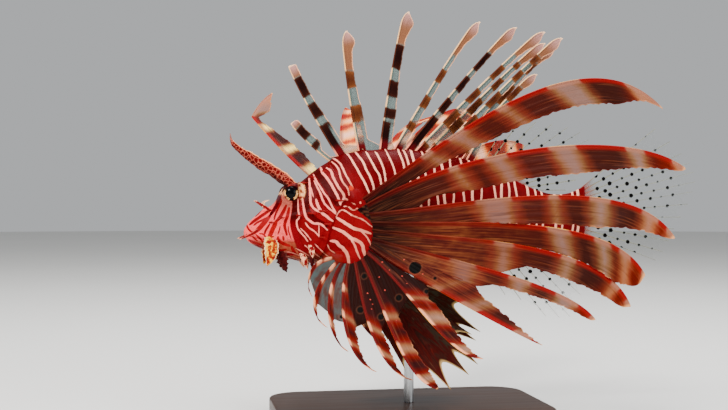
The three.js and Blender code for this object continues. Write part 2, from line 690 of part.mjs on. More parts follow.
const fish = new THREE.Group();
fish.position.set(-ROD_X, 0, AXIS_HEIGHT);
fish.add(
  meshOf('head', headSolid(), SKIN),
  meshOf('lower_jaw', jawSolid(), SKIN),
  meshOf('torso', torsoSolid(), SKIN),
  meshOf('tail', tailSolid(), SKIN),
  meshOf('dorsal_spines', dorsalSpines().subtract(bodyRoom), BANDED_FIN),
  meshOf('soft_dorsal_fin', edgeFin(SOFT_DORSAL, skinTop).subtract(bodyRoom), CLEAR_FIN),
  meshOf('anal_fin', edgeFin(ANAL, skinBelly).subtract(bodyRoom), CLEAR_FIN),
  meshOf('caudal_fin', caudalFin().subtract(bodyRoom), CLEAR_FIN),
);
for (const [label, side] of [['left', LEFT], ['right', RIGHT]]) {
  const tentacle = browTentacle(side).subtract(bodyRoom).subtract(eyeRoom);
  const upperFrom = side === LEFT ? 0 : FRONT_RAYS;
  const upper = pectoralStraps(side, upperFrom, UPPER_RAYS).subtract(fleshRoom);
  const lower = pectoralStraps(side, UPPER_RAYS, PECTORAL_RAYS).subtract(fleshRoom);
  fish.add(
    meshOf(`eye_${label}`, ball(EYE.x, side * EYE.y, EYE.z, EYE.radius, 14), EYEBALL),
    meshOf(`brow_tentacle_${label}`, tentacle, SKIN),
    meshOf(`pectoral_fin_${label}_upper`, upper, BANDED_FIN),
    meshOf(`pectoral_fin_${label}_lower`, lower, BANDED_FIN),
    meshOf(`pelvic_fin_${label}`, pelvicFin(side).subtract(fleshRoom), DARK_FIN),
  );
}
const frontStraps = pectoralStraps(RIGHT, 0, FRONT_RAYS).subtract(fleshRoom);
fish.add(meshOf('pectoral_fin_right_front', frontStraps, BANDED_FIN));

function standBase() {
  const { length, width, thick, corner } = BASE;
  const shape = new THREE.Shape();
  const x = length / 2 - corner;
  const y = width / 2 - corner;
  shape.absarc(x, y, corner, 0, Math.PI / 2);
  shape.absarc(-x, y, corner, Math.PI / 2, Math.PI);
  shape.absarc(-x, -y, corner, Math.PI, 1.5 * Math.PI);
  shape.absarc(x, -y, corner, 1.5 * Math.PI, 2 * Math.PI);
  return solidOf(new THREE.ExtrudeGeometry(shape, { depth: thick, bevelEnabled: false, curveSegments: 8 }));
}

function standRod() {
  const low = BASE.thick + GAP;
  const high = AXIS_HEIGHT + skinBelly(ROD_X) + ROD_SINK;
  const geometry = new THREE.CylinderGeometry(ROD_RADIUS, ROD_RADIUS, high - low, 20);
  geometry.rotateX(Math.PI / 2);
  geometry.translate(0, 0, (low + high) / 2);
  return solidOf(geometry).subtract(bodyRoom.translate(-ROD_X, 0, AXIS_HEIGHT));
}

const stand = new THREE.Group();
stand.add(meshOf('stand_base', standBase(), WOOD), meshOf('stand_rod', standRod(), STEEL));

const part = new THREE.Group();
part.add(fish, stand);
export default part;
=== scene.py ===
import math

import bmesh
import bpy
import numpy as np
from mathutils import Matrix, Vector


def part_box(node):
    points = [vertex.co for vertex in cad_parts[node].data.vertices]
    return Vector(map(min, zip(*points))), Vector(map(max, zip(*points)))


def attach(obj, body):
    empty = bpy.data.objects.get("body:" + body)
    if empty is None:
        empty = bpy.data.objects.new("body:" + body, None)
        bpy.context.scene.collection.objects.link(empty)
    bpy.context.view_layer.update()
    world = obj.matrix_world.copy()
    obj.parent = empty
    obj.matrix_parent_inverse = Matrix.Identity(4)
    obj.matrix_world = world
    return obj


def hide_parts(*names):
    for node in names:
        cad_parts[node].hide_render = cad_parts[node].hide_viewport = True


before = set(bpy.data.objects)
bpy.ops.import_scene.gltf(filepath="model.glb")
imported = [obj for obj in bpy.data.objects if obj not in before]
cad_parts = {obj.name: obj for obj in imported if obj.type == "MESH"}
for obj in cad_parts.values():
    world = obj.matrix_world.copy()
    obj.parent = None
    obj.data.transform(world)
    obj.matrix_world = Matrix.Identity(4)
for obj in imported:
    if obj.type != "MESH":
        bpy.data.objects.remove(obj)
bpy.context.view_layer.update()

# A red lionfish on a display rod. Shapes are worked out in millimetres in the fish's own frame, as in the
# solid model: x from the snout tip to the tail, y to the fish's right side, z up from the body's axis. Each
# mesh is then put into the row's frame in metres. The stand, the lights and the camera are in metres from
# the start.

LEFT = -1
RIGHT = 1
SIDE_NAMES = {LEFT: "left", RIGHT: "right"}
ROD_X = 118
AXIS_HEIGHT = 146

# The body: x, top, belly and half width at each station.
BODY_STATIONS = np.array([
    (3, -10.4, -17, 2.4),
    (5, -7.6, -20, 4.6),
    (9, -3.7, -22.8, 7.2),
    (15, 1.7, -25.6, 9.4),
    (21, 4.6, -28, 10.8),
    (25, 9, -29.6, 11.2),
    (29, 15, -31, 11.6),
    (34, 18, -32.5, 12.6),
    (41, 20.6, -34.2, 14.8),
    (50, 28, -35.8, 17.8),
    (60, 34.5, -37, 20.6),
    (75, 41, -39.5, 22.5),
    (95, 43.5, -42.5, 22),
    (120, 43, -42.5, 19),
    (150, 38.5, -37.5, 14),
    (180, 30, -28, 9.2),
    (205, 18.5, -19.5, 6.2),
    (222, 13, -15.3, 4.8),
    (236, 13.5, -14.3, 4),
    (248, 18.5, -16, 2.4),
])
WIDEST_SHARE = 0.44
BACK_FULLNESS = 1.12
BELLY_FULLNESS = 0.92
EYE = (33.5, 9.8, 12.8)
EYE_RADIUS = 6.4
ORBIT_SWELL, ORBIT_LENGTH, ORBIT_HEIGHT = 4.6, 7.5, 7
BROW_RISE, BROW_ACROSS, BROW_WIDTH, BROW_LENGTH = 3.6, 8.5, 3.6, 6
CHEEK_X, CHEEK_Z, CHEEK_SWELL, CHEEK_SIZE = 46, -9, 1.6, 10
MOUTH_FRONT_Z, MOUTH_CORNER_X, MOUTH_CORNER_Z = -15.2, 26, -21

# The finished skin: its rings as (from, to, count), the points round a ring, and the rings that close the
# snout, each a share of the way to its middle and a reach ahead.
SKIN_SPANS = ((3, 70, 172), (70, 125, 86), (125, 248, 115))
SKIN_SIDES = 258
SNOUT_RINGS = ((0.7, 0.85), (0.3, 0.5))
# Ridges and grooves of the cheek and gill cover in side view, each its height, width and guide points.
CHEEK_RIDGES = (
    (1.0, 1.3, [(18, -7.5), (26, -4.5), (34, -2.8), (44, -1.5), (53, 0.5)]),
    (0.8, 1.5, [(51, 17), (54.5, 6), (54.5, -8), (51.5, -18), (46, -26.5)]),
    (0.7, 1.2, [(38, 21), (46, 24.5), (55, 28.5), (62, 30)]),
    (0.6, 1.5, [(57, 12), (64, 8.5)]),
    (0.9, 2.2, [(7, -14.2), (14, -16.6), (21, -18), (26.5, -18.6)]),
    (-0.55, 0.8, [(13, -12.5), (21, -14.8), (28, -16), (30, -20), (27.5, -24)]),
    (-0.4, 0.9, [(56.5, 10), (57, -8), (54, -20)]),
)
NOSTRIL = (20.5, -1.2)

# The dorsal spines, from the front to the rear. The first two are blunt, and the first four broad.
SPINE_BASES = [62.7, 68.5, 83, 98, 108, 116, 123.5, 131, 139, 146.5, 152.5, 157, 160.5]
SPINE_LENGTHS = [38, 72, 84, 101, 109, 123, 126, 121, 123, 117, 84, 46, 40]
SPINE_LEANS = [-48, -29, -9, 10.5, 32, 41.5, 45.8, 46.8, 45.7, 43.9, 42, 38, 33]
SPINE_SPLAY, SPINE_SINK, SPINE_BOW = 3.5, 4, 2
SPINE_ROOT, SPINE_TIP, SPINE_STRAP, SPINE_LOW, SPINE_WEB = 2.2, 1, 5.4, 7.6, 0.2
SPINE_LEAF, SPINE_LEAF_AT, SPINE_LEAF_SPAN = 8.3, 0.88, 0.07
BLUNT_SPINES, LAST_BROAD_SPINE = 2, 3
DARK_SPINES, CLEAR_NECKED_SPINES = (0, 1, 3, 5), (4, 6)
SPINE_ROWS, SPINE_COLUMNS = 72, 9
SPINE_CORE = np.array([-1, -0.75, -0.3, 0.3, 0.75, 1])

# The pectoral fins, their rays counted from the top.
UPPER_RAYS, FRONT_RAYS, TRAILING_RAYS, PECTORAL_RAYS = 7, 2, 6, 14
FIN_CENTRE = (80, 22, -14)
LEFT_FIN = {
    "reach": [215, 217, 206, 190, 185, 167, 145, 122, 120, 107, 96, 82, 69, 55],
    "rise": [23.6, 12.1, -0.6, -8.7, -16, -21.5, -34, -49.4, -67.9, -74.6, -87.4, -99.4, -112.4, -129.5],
    "spread": [18.9, 22.1, 26.1, 28.2, 27.7, 28.4, 30.7, 31.6, 27.5, 24.3, 20.8, 17.1, 13.4, 8.4],
    "bow": [22, 32, 10, 8, 10, 3, -4, 4, -1, -9, -15, -16, -11, -15],
    "droop": [68, 33, 44, 38, 38, 17, -2, -16, -18, -20, -20, -16, -20, -10],
}
RIGHT_FIN = {
    "reach": [170, 156, 176, 197, 212, 192, 166, 148, 132, 118, 104, 88, 72, 58],
    "rise": [126, 81, 46, 39, 22.5, 4, -14, -29, -43, -56, -69, -82, -94, -106],
    "spread": [40, 50, 45, 37.5, 32, 34, 35, 34, 33, 31, 28, 25, 22, 20],
    "bow": [11, 6, 11, 14, 12, 7, 4, 0, -3, -8, -10, -9, -8, -7],
    "droop": [0, 8, 22, 28, 29, 21, 8, -6, -10, -12, -12, -12, -12, -8],
}
KINK_FROM, KINK_SHIFT = 0.73, (31, 4, 4)
FLAP_WIDTHS = [18, 19.5, 20.5, 21, 15.5, 11, 16, 11.5, 9, 9, 8.5, 6, 4.8, 3.4]
WEB_ENDS = [0.1, 0.15, 0.28, 0.5, 0.5, 0.47, 0.46, 0.34, 0.36, 0.4, 0.42, 0.46, 0.5, 0.5]
OPEN_ENDS = [0.55, 0.38, 0.48, 0.7, 0.7, 0.67, 0.66, 0.54, 0.56, 0.6, 0.62, 0.66, 0.7, 0.7]
TAPER_FROM = [0.8, 0.6, 0.72, 0.86, 0.76, 0.5, 0.42, 0.5, 0.8, 0.6, 0.5, 0.5, 0.55, 0.5]
TAPER_POWER = [0.95, 0.6, 0.65, 0.4, 0.4, 0.42, 1.2, 0.7, 0.6, 0.65, 0.65, 0.6, 0.6, 0.6]
FAR_LEAF_AT = [0, 0.3, 0.4, 0.5, 0.6, 0.66, 0.705, 0.735, 0.76, 0.8, 0.86, 0.92, 1]
FAR_LEAF_WIDTH = [3, 8.5, 10, 10.4, 9, 6.5, 4.4, 6.5, 9.8, 11.6, 9, 5, 0.4]
RAY_ROOT, RAY_TIP, WEB_THICK = 1.9, 0.8, 0.5
UPPER_ROWS, LOWER_ROWS, WEB_COLUMNS = 120, 104, 23
RAY_CORE = np.array([-1, -0.8, -0.4, 0, 0.4, 0.8, 1])
LOBE_LINE = [(73, 18, 15), (76, 20.5, 10.5), (80.5, 22.5, 0), (83, 24, -15), (79, 23.5, -27.5),
             (69.5, 20, -32.5), (60.5, 15, -30.5)]
LOBE_FIRST, LOBE_LAST, LOBE_WIDTH, LOBE_THICK, LOBE_FOOT = 0.24, 0.96, 8, 3.6, 2.4
# Round marks on the webs, by ray: share along the ray, share across its web and radius.
EYE_SPOTS = {
    6: [(0.255, 0.5, 4.2), (0.345, 0.45, 1.2)],
    7: [(0.38, 0.9, 1.5)],
    8: [(0.35, 0.7, 2.1)],
    9: [(0.4, 0.75, 2.0), (0.15, 0.6, 1.8)],
    10: [(0.36, 0.8, 2.1)],
    11: [(0.45, 0.85, 1.3)],
}
PALE_DOTS = {
    6: [(0.2, 0.7, 0.5), (0.3, 0.35, 0.5)],
    7: [(0.26, 0.6, 0.6), (0.14, 0.5, 0.5), (0.31, 0.4, 0.4), (0.2, 0.3, 0.4)],
    8: [(0.2, 0.5, 0.45), (0.28, 0.4, 0.5), (0.45, 0.7, 0.5)],
    9: [(0.26, 0.45, 0.6), (0.3, 0.5, 0.5), (0.33, 0.55, 0.45), (0.35, 0.4, 0.4)],
}

# The other fins: lengths in millimetres and angles in degrees of their rays.
SOFT_DORSAL = {
    "from": 169, "to": 205, "sink": 3,
    "lengths": [40, 44, 49, 55, 61, 65, 66, 62, 53, 41, 29],
    "angles": [56, 50, 43, 37, 32, 28, 24, 19, 12, 4, -6],
}
ANAL = {
    "from": 163, "to": 209, "sink": -3,
    "lengths": [20, 34, 42, 62, 68, 71, 67, 60, 57, 52],
    "angles": [-58, -54, -51, -49, -47, -46, -43, -40, -36, -31],
}
CAUDAL = {
    "lengths": [70, 77, 83, 87, 88, 87, 84, 80, 75, 71, 68, 64, 59],
    "angles": [38.7, 29, 22, 18, 15, 12, 9.2, 5, 0, -5, -10.5, -16, -21],
}
LEFT_PELVIC = {"lengths": [80, 98, 105, 106, 106, 92], "angles": [-60, -56, -51.5, -43.5, -39, -31]}
RIGHT_PELVIC = {"lengths": [67, 96, 104, 113, 109, 84], "angles": [-55, -48, -39, -30, -27, -18]}
PELVIC_X, PELVIC_LENGTH, PELVIC_Y, PELVIC_SINK, PELVIC_SPREAD = 70, 12, 8, 6, [20, 28, 27, 23, 18, 7]
# Rows of spots on the clear fins: pitch along a ray, first spot and radius.
EDGE_FIN_SPOTS = (7.8, 8, 1.5)
CAUDAL_SPOTS = (9.5, 15, 1.6)

EYE_RINGS, EYE_AROUND = 60, 72
TENTACLE_LINE = [(36.5, 8, 16.5), (31, 9.8, 21.3), (22.5, 11.8, 27.4), (13.5, 13, 32.6), (5.3, 14, 38),
                 (-1.5, 14.8, 42.6), (-6.9, 15.2, 47.8), (-8.2, 15.4, 53)]
TENTACLE_AT = [0, 0.1, 0.18, 0.38, 0.52, 0.6, 0.65, 0.79, 0.9, 1]
TENTACLE_WIDTH = [6.5, 7.3, 7.6, 7.0, 6.1, 4.9, 3.8, 2.5, 1.5, 0.5]
# Small lobes of the brow tentacle: share along it, reach and width.
TENTACLE_SPURS = ((0.36, 2.2, 1.6), (0.52, 2.8, 1.1), (0.66, 1.8, 0.9), (0.8, 1.5, 0.7))
# Leaf-shaped skin flaps: tone, width, thickness, frill, way from the root, and the root in side view.
FACE_FLAPS = (
    (2, 9.8, 1.5, 0.12, [(0.4, -0.6, 1.5), (1.4, 1.6, -6), (0.4, 2, -12.5), (-1.6, 2, -18)], (18.6, -18.2)),
    (3, 6.4, 1.4, 0.38, [(0, -0.6, 1.5), (2, 1.4, -4.5), (3.4, 1.6, -9.5), (4.8, 1.2, -14)], (26, -27)),
    (4, 4.2, 1.3, 0.15, [(0, -0.6, 1.2), (2, 1.2, -5), (4, 1, -10.5)], (41, -28.5)),
    (3, 3.4, 1.2, 0.25, [(0, -0.6, 1.2), (0.6, 1.2, -5), (1, 1, -10.5)], (47, -29)),
    (4, 4.0, 1.2, 0.1, [(0, -0.6, 1.2), (0.7, 1.4, -4), (1.2, 1.2, -8)], (46.5, -23)),
)
# Narrow flaps of the snout: tone, widths at root and tip with the power between, thickness, rows, points round
# each row, and guide points.
FACE_TUBES = (
    (5, (2.6, 0.5, 1.2), 1.4, 26, 12, [(12.5, 7.2, -11.6), (8, 9, -14.2), (3, 10.2, -16.6), (-1.4, 11, -18.4)]),
    (5, (2.3, 0.5, 1), 1.2, 22, 12, [(19.5, 6, 1), (16, 7, 3.8), (12.8, 7.6, 5.9), (9.7, 8, 7.9)]),
    (1, (1.0, 0.4, 1), 0.6, 16, 8, [(15.8, 6.6, 3.4), (15.3, 7.8, 5.8), (16.5, 8.2, 7.3), (18.8, 8.2, 8.1)]),
)
# Small head spines: x, z, reach backwards, reach outwards and radius.
HEAD_THORNS = [
    (19, -7, 3, 2, 1.0), (26, -3.7, 3, 2.2, 1.0), (37, -2.2, 3, 2.5, 1.0), (45, -0.8, 4, 2.5, 1.1),
    (52, 0.8, 5, 3, 1.2), (55, -8, 5, 2.5, 1.2), (52, -17, 4, 2.5, 1.1), (47, -25, 3, 2.5, 1.0),
    (41, 20, 4, 1.8, 1.0), (48, 24, 4.5, 1.8, 1.1), (56, 28, 4.5, 1.8, 1.1), (63, 8, 6, 2, 1.2),
]
# The stand and the studio, in metres.
BASE_LENGTH, BASE_WIDTH, BASE_THICK, BASE_CORNER, BASE_SOFT_EDGE = 0.19, 0.12, 0.012, 0.024, 0.0014
ROD_RADIUS = 0.0035
FLOOR_RADIUS, FLOOR_Z = 6, -0.0003
LIT_PLACE = (0, 0, 0.15)
LIGHTS = (
    ("key", (-0.9, -1.1, 1.6), 0.7, 66, (1, 0.98, 0.95)),
    ("top", (0.3, 0.25, 1.7), 0.7, 38, (1, 1, 1)),
    ("fill", (1.3, -1.0, 0.7), 1.2, 17, (0.95, 0.98, 1)),
)
CAMERA_PLACE, CAMERA_TARGET = (-0.1709, -0.78785, 0.1509), (-0.032, 0, 0.1509)
CAMERA_LENS, CAMERA_SENSOR = 56.5, 36

# Distances in millimetres: one that no line reaches, the reach round a line within which points are measured,
# the limit of a band's values, and one that lies clear of all marks.
FAR_OFF, LINE_REACH, BAND_LIMIT, CLEAR_OF_MARKS = 99.0, 9, 20, 6.0

# White lines of the head and flank in side view, each its half width and guide points.
WHITE_LINES = [
    (0.72, [(73.5, 42), (74, 40), (77.5, 32), (80, 26.5), (82.5, 21.5), (84.5, 17), (86.5, 11.5), (88, 7)]),
    (0.72, [(79.5, 43), (80, 40.5), (83.5, 34), (85, 29), (87.5, 23.5), (89, 18.5), (89.5, 13), (90, 3)]),
    (0.7, [(86.5, 42), (87.5, 39.5), (91, 30.5), (93.5, 26), (94.5, 20.5), (95.5, 13), (96, 3)]),
    (0.68, [(93, 42), (94, 40), (97, 30.5), (98, 20), (99, 8), (99, -12)]),
    (0.62, [(100.5, 44), (101.5, 40), (103.5, 34), (105, 27), (105.5, 14), (105, -16)]),
    (0.75, [(110, 45), (110, 41.5), (111.5, 35), (112, 29), (112.5, 14), (112.5, -16)]),
    (0.35, [(27, -27.5), (33, -27.5), (40, -30), (48, -33.5), (55, -36)]),
    (0.35, [(25.5, -30.2), (32, -30.5), (40, -33), (48, -36)]),
    (0.35, [(36.5, -24.5), (41, -27), (47, -30.5), (54, -34.5), (60, -37)]),
    (0.35, [(42.5, -22.5), (48, -27), (54, -31.5), (62, -36.5)]),
    (0.35, [(49, -21.5), (53, -25.5), (58, -30), (65, -36)]),
    (0.62, [(62.5, 38.5), (67, 34.5), (69, 30), (71, 24.5), (73.5, 19.5), (75, 16.5)]),
    (0.62, [(62.5, 35), (66, 30), (67, 24), (68.5, 20), (71, 16.5), (72, 11.5)]),
    (0.8, [(58.5, 30.5), (61, 28), (62, 24), (64.5, 18), (68.5, 11), (66, 6)]),
    (0.85, [(55, 31), (55.5, 27), (58.5, 22.5), (63.5, 12.5), (66, 5)]),
    (0.6, [(49.5, 26), (51, 21.5), (55.5, 13), (58.5, 8.5), (60.5, 3.5), (63, -0.5)]),
    (0.65, [(49.5, 21.5), (52.5, 14), (54, 9), (56.5, 4.5), (62.5, -1)]),
    (0.75, [(46.5, 23), (46.2, 11), (46.5, 6), (48.5, 2.5), (52, 0)]),
    (0.35, [(47, 17), (48, 12), (48.5, 10)]),
    (0.95, [(50, 8.5), (51, 5), (53, 0.5), (55.5, -2), (60.5, -6)]),
    (0.75, [(41, 10), (41.5, 4), (42.5, -2), (44.5, -5), (48, -7.5), (52.5, -8), (57, -12)]),
    (0.55, [(38, 9), (38, 1.5), (38.5, -3.5), (37, -6), (37.5, -10.5), (39, -13), (42, -16.5), (44.5, -20)]),
    (0.4, [(39.5, -11), (42.5, -14), (45, -17), (46.5, -19)]),
    (0.5, [(42.5, -7), (45, -10.5), (48, -12.5), (51.5, -16)]),
    (0.35, [(51.5, -9), (51.5, -13), (51.5, -17)]),
    (0.5, [(63, -4), (64, -1), (66, 1), (69, 1), (74.5, -2.5), (80.5, -5), (87, -10)]),
    (1.05, [(63, -3.5), (67, -6), (71, -8.5), (75, -11), (78.5, -12), (86, -14.5)]),
    (0.5, [(78.5, -12), (82, -15.5), (84.5, -19), (86, -22.5)]),
    (1.1, [(61, -10.5), (65, -12), (69.5, -14.5), (73, -17.5), (76.5, -19), (80, -22), (81, -26), (82.5, -30),
           (87.5, -38.5)]),
    (0.65, [(73, -17.5), (75, -22), (76.5, -26.5), (79, -32)]),
    (1.1, [(59.5, -19.5), (63, -20), (65.5, -22.5), (68.5, -25), (70.5, -29), (72, -39)]),
    (0.35, [(57.5, -22), (59.5, -25.5), (63, -28)]),
    (0.45, [(68, 4), (71.5, 3.5), (74.5, 1.5), (78.5, 3.5)]),
    (0.8, [(69.7, 9), (70.8, 8.5)]),
    (0.4, [(73.5, 6.5), (76, 5)]),
    (0.8, [(78.3, 6.5), (79.7, 6.5)]),
]
# Broad dark bands: half width, guide points, and how dark each is at its two ends.
DARK_BANDS = [
    (2.2, [(50.5, 30), (52, 27.5), (56, 20), (59, 15), (61.5, 10), (64, 6)], 1.0, 0.9),
    (1.65, [(45.2, 23), (44.5, 15.5), (44, 9), (44, 2.5), (46, -2), (50, -5.5), (55.5, -9)], 1.0, 0.85),
    (1.95, [(36, 9), (36, 2.5), (35, -2.5), (34.5, -6), (35, -11.5), (37.5, -19.5), (41, -28)], 1.0, 0.0),
    (0.9, [(61, 31.5), (65, 24.5), (67.5, 17), (70, 12)], 0.55, 0.4),
]
# Thin red lines on the pale face: half width, guide points, and how dark each is.
FACE_LINES = [
    (0.8, [(26.3, 13), (25, 7), (23, 3), (21, 0), (18.5, -3.5)], 0.9),
    (1.15, [(19, -3), (15.5, -7), (12.5, -10.5), (9.5, -13.5)], 0.15),
    (0.75, [(20, 1.5), (16, -1), (12.5, -3.5), (9, -6), (6, -8.5)], 0.4),
    (0.5, [(19.5, -1.5), (18, -3.5), (15, -5), (11, -7), (8.5, -9)], 0.3),
    (0.3, [(15.5, 3), (12.5, -0.5), (10, -3)], 0.6),
    (0.5, [(4, -9), (5, -11.5), (7, -13.5), (9, -14)], 0.2),
    (0.55, [(26.5, 9), (26.5, 6.5), (25, 3), (23, -1.5), (22, -5)], 0.45),
    (0.85, [(30, 4.5), (28.5, 1), (26.5, -2.5), (25, -4.5), (23, -6.5)], 0.35),
    (1.1, [(23.4, -6), (22.5, -8.5), (21, -11.5), (19.5, -15), (18, -17.5)], 0.0),
    (0.8, [(32, 3), (31.5, 0), (30.5, -3.5), (29.5, -6.5), (29, -9.5), (30.5, -15.5)], 0.25),
    (0.55, [(19, -8), (17.5, -10.5), (16, -13), (15.5, -15)], 0.35),
    (0.35, [(26, -9.5), (25.5, -12), (24.5, -15)], 0.5),
    (0.3, [(31.5, -9.5), (31.5, -12.5), (32.5, -15.5), (33.5, -18.5)], 0.4),
    (0.45, [(12, -14.5), (14.5, -15), (16, -17), (17, -18.5)], 0.1),
    (0.5, [(9.5, -15), (11.5, -17), (13, -18.5), (14.5, -20.5)], 0.0),
    (0.4, [(7.5, -16.5), (9.5, -18.5), (11, -19.5)], 0.2),
    (0.65, [(5.5, -19), (8, -20.5), (11, -21.5), (14, -22.5)], 0.15),
    (0.5, [(9.5, -22), (13, -24), (15, -25)], 0.6),
    (0.8, [(24.5, -17), (24.5, -18.5), (26.5, -20.5), (29.5, -22), (32.5, -23)], 0.1),
    (0.6, [(28, -16.5), (28.5, -19)], 0.1),
    (0.5, [(25, -26), (27.5, -26), (30.5, -25.5)], 0.3),
    (0.6, [(25, -29), (29, -28.5), (33, -29), (37, -29)], 0.4),
    (0.6, [(25.5, -29.5), (30.5, -31.5), (35, -32.5), (39, -33)], 0.6),
    (0.7, [(34, -23.5), (35, -26), (37, -28.5)], 0.3),
]
# White bars of the rear flank: x at the height of the body's axis.
FLANK_BARS = [118, 123, 129.3, 135.3, 141, 147.3, 154.6, 161.8, 168, 178.7, 184, 189.3, 195.2, 204.3,
              210.3, 215.2, 225.2, 230.2, 238.6, 242.6]
GILL_LINE = [(56, 48), (62, 30), (71, 14), (66.5, 4), (62.5, -3), (59, -12), (56.5, -24), (52, -34), (47, -42)]
BAR_HALF_WIDTHS = (0.75, 0.95, 0.7)
FACE_EDGE = [(38, 30), (34.5, 8), (33.5, -8), (37.5, -20), (42, -40)]
WARM_SPOT = (73.5, 16.5, 1.6)
FOLD_X, FOLD_Z, FOLD_RISE, FOLD_OPEN, FOLD_END = 76.5, 1.8, -0.15, 0.7, 93

# Shares along each ray or spine at which its bands change between dark and pale.
PALE_STOPS = {
    LEFT: [
        [.215, .25, .295, .350, .445, .482, .60, .70, .85],
        [.26, .29, .36, .42, .53, .61, .755, .82, .93],
        [.33, .43, .53, .56, .65, .72, .835, .905, .95],
        [.57, .645, .735, .80, .84, .90, .97],
        [.42, .48, .64, .70, .855, .905, .96],
        [.33, .43, .55, .635, .74, .86, .955],
        [.36, .40, .50, .585, .78, .90, .945],
        [.355, .40, .455, .57, .725, .86, .94],
        [.37, .42, .55, .635, .79, .90],
        [.43, .495, .605, .685, .84, .93, .97],
        [.19, .235, .385, .445, .595, .66, .865],
        [.24, .34, .53, .635, .885],
        [.08, .17, .26, .34, .55, .68, .88],
        [.02, .15, .20, .30, .50, .66, .90],
    ],
    RIGHT: [
        [.1, .31, .40, .47, .58, .66, .73],
        [.40, .50, .53, .645, .70, .78, .85, .95],
        [.2, .3, .4, .5, .62, .72, .84],
        [.2, .3, .42, .52, .64, .74, .86],
        [.2, .3, .42, .5, .62, .7, .84, .92],
        [.25, .38, .5, .6, .74, .84],
        [.33, .42, .56, .66, .82, .93],
        [.36, .46, .56, .66, .8, .92],
        [.4, .5, .62, .72, .86],
        [.4, .48, .58, .68, .84],
        [.34, .42, .58, .66, .88],
        [.25, .33, .52, .60, .86],
        [.15, .25, .36, .46, .58, .68, .88],
        [.10, .25, .36, .50, .62, .76, .92],
    ],
}
PALE_STOPS_SPINES = [
    [.0, .353, .455, .557, .794],
    [.34, .40, .53, .60, .80],
    [.08, .25, .36, .48, .60],
    [.212, .23, .29, .355, .45, .52, .68],
    [.05, .17, .22, .31, .38, .47, .55],
    [.259, .290, .368, .420, .516, .566, .696],
    [.10, .22, .31, .37, .45, .53, .62],
    [.10, .20, .28, .33, .42, .50, .58, .67, .72],
    [.12, .22, .30, .37, .46, .55, .62, .68, .75],
    [.10, .20, .32, .42, .55, .65, .75],
    [.15, .30, .45, .60, .75],
    [.2, .5, .7],
    [.2, .5, .7],
]


def bump(distance, size):
    return np.exp(-0.5 * (distance / size) ** 2)


def smoothstep(x, low, high):
    t = np.clip((x - low) / (high - low), 0, 1)
    return t * t * (3 - 2 * t)


def lerp(a, b, t):
    return a + (b - a) * t


def station(column, x):
    """Smooth values of one column between the body's stations."""
    table = BODY_STATIONS
    last = len(table) - 1
    rows = np.arange(last + 1)
    before = table[np.maximum(rows - 1, 0)]
    after = table[np.minimum(rows + 1, last)]
    slopes = (after[:, column] - before[:, column]) / (after[:, 0] - before[:, 0])
    k = np.clip(np.searchsorted(table[:, 0], x, side="left") - 1, 0, last - 1)
    span = table[k + 1, 0] - table[k, 0]
    t = np.clip((x - table[k, 0]) / span, 0, 1)
    h = t * t * (3 - 2 * t)
    bend = slopes[k] * (1 - t) - slopes[k + 1] * t
    return lerp(table[k, column], table[k + 1, column], h) + bend * span * t * (1 - t)


def mouth_height(x):
    return MOUTH_FRONT_Z + (MOUTH_CORNER_Z - MOUTH_FRONT_Z) * x / MOUTH_CORNER_X


def body_point(x, angle):
    """Points of the plain skin: x along the fish, angle round the section from the right side over the back."""
    top, belly, half = (station(column, x) for column in (1, 2, 3))
    widest = lerp(belly, top, WIDEST_SHARE)
    c = np.cos(angle)
    s = np.sin(angle)
    across = np.abs(c) ** np.where(s > 0, BACK_FULLNESS, BELLY_FULLNESS)
    z = widest + s * np.where(s > 0, top - widest, widest - belly)
    flank = np.minimum(1, 3 * np.abs(c))
    orbit = ORBIT_SWELL * bump(x - EYE[0], ORBIT_LENGTH) * bump(z - EYE[2], ORBIT_HEIGHT)
    cheek = CHEEK_SWELL * bump(x - CHEEK_X, CHEEK_SIZE) * bump(z - CHEEK_Z, CHEEK_SIZE)
    y = half * across + flank * (orbit + cheek)
    brow = BROW_RISE * bump(x - EYE[0], BROW_LENGTH) * bump(y - BROW_ACROSS, BROW_WIDTH) * np.maximum(s, 0)
    return np.stack([x + 0 * y, np.sign(c) * y, z + brow], -1)


def catmull(points, share):
    """A smooth curve through points, at shares of its length in steps of equal count."""
    points = np.array(points, float)
    ends = [2 * points[0] - points[1], 2 * points[-1] - points[-2]]
    p = np.vstack([ends[0], points, ends[1]])
    at = np.clip(np.asarray(share, float), 0, 1) * (len(points) - 1)
    k = np.minimum(at.astype(int), len(points) - 2)
    t = (at - k)[..., None]
    a, b, c, d = p[k], p[k + 1], p[k + 2], p[k + 3]
    return 0.5 * (2 * b + (c - a) * t + (2 * a - 5 * b + 4 * c - d) * t ** 2 + (3 * b - a - 3 * c + d) * t ** 3)


def ray_curve(root, tip, bow, droop):
    """A curve from root to tip that is bowed in side view, as a function of the share along it."""
    root = np.array(root, float)
    tip = np.array(tip, float)
    chord = tip - root
    normal = np.array([-chord[2], 0, chord[0]])
    normal /= np.linalg.norm(normal)
    first = root + chord * 0.34 + normal * bow
    second = root + chord * 0.85 + normal * droop

    def at(share):
        t = np.asarray(share, float)[..., None]
        return (1 - t) ** 3 * root + 3 * (1 - t) ** 2 * t * first + 3 * (1 - t) * t * t * second + t ** 3 * tip
    return at


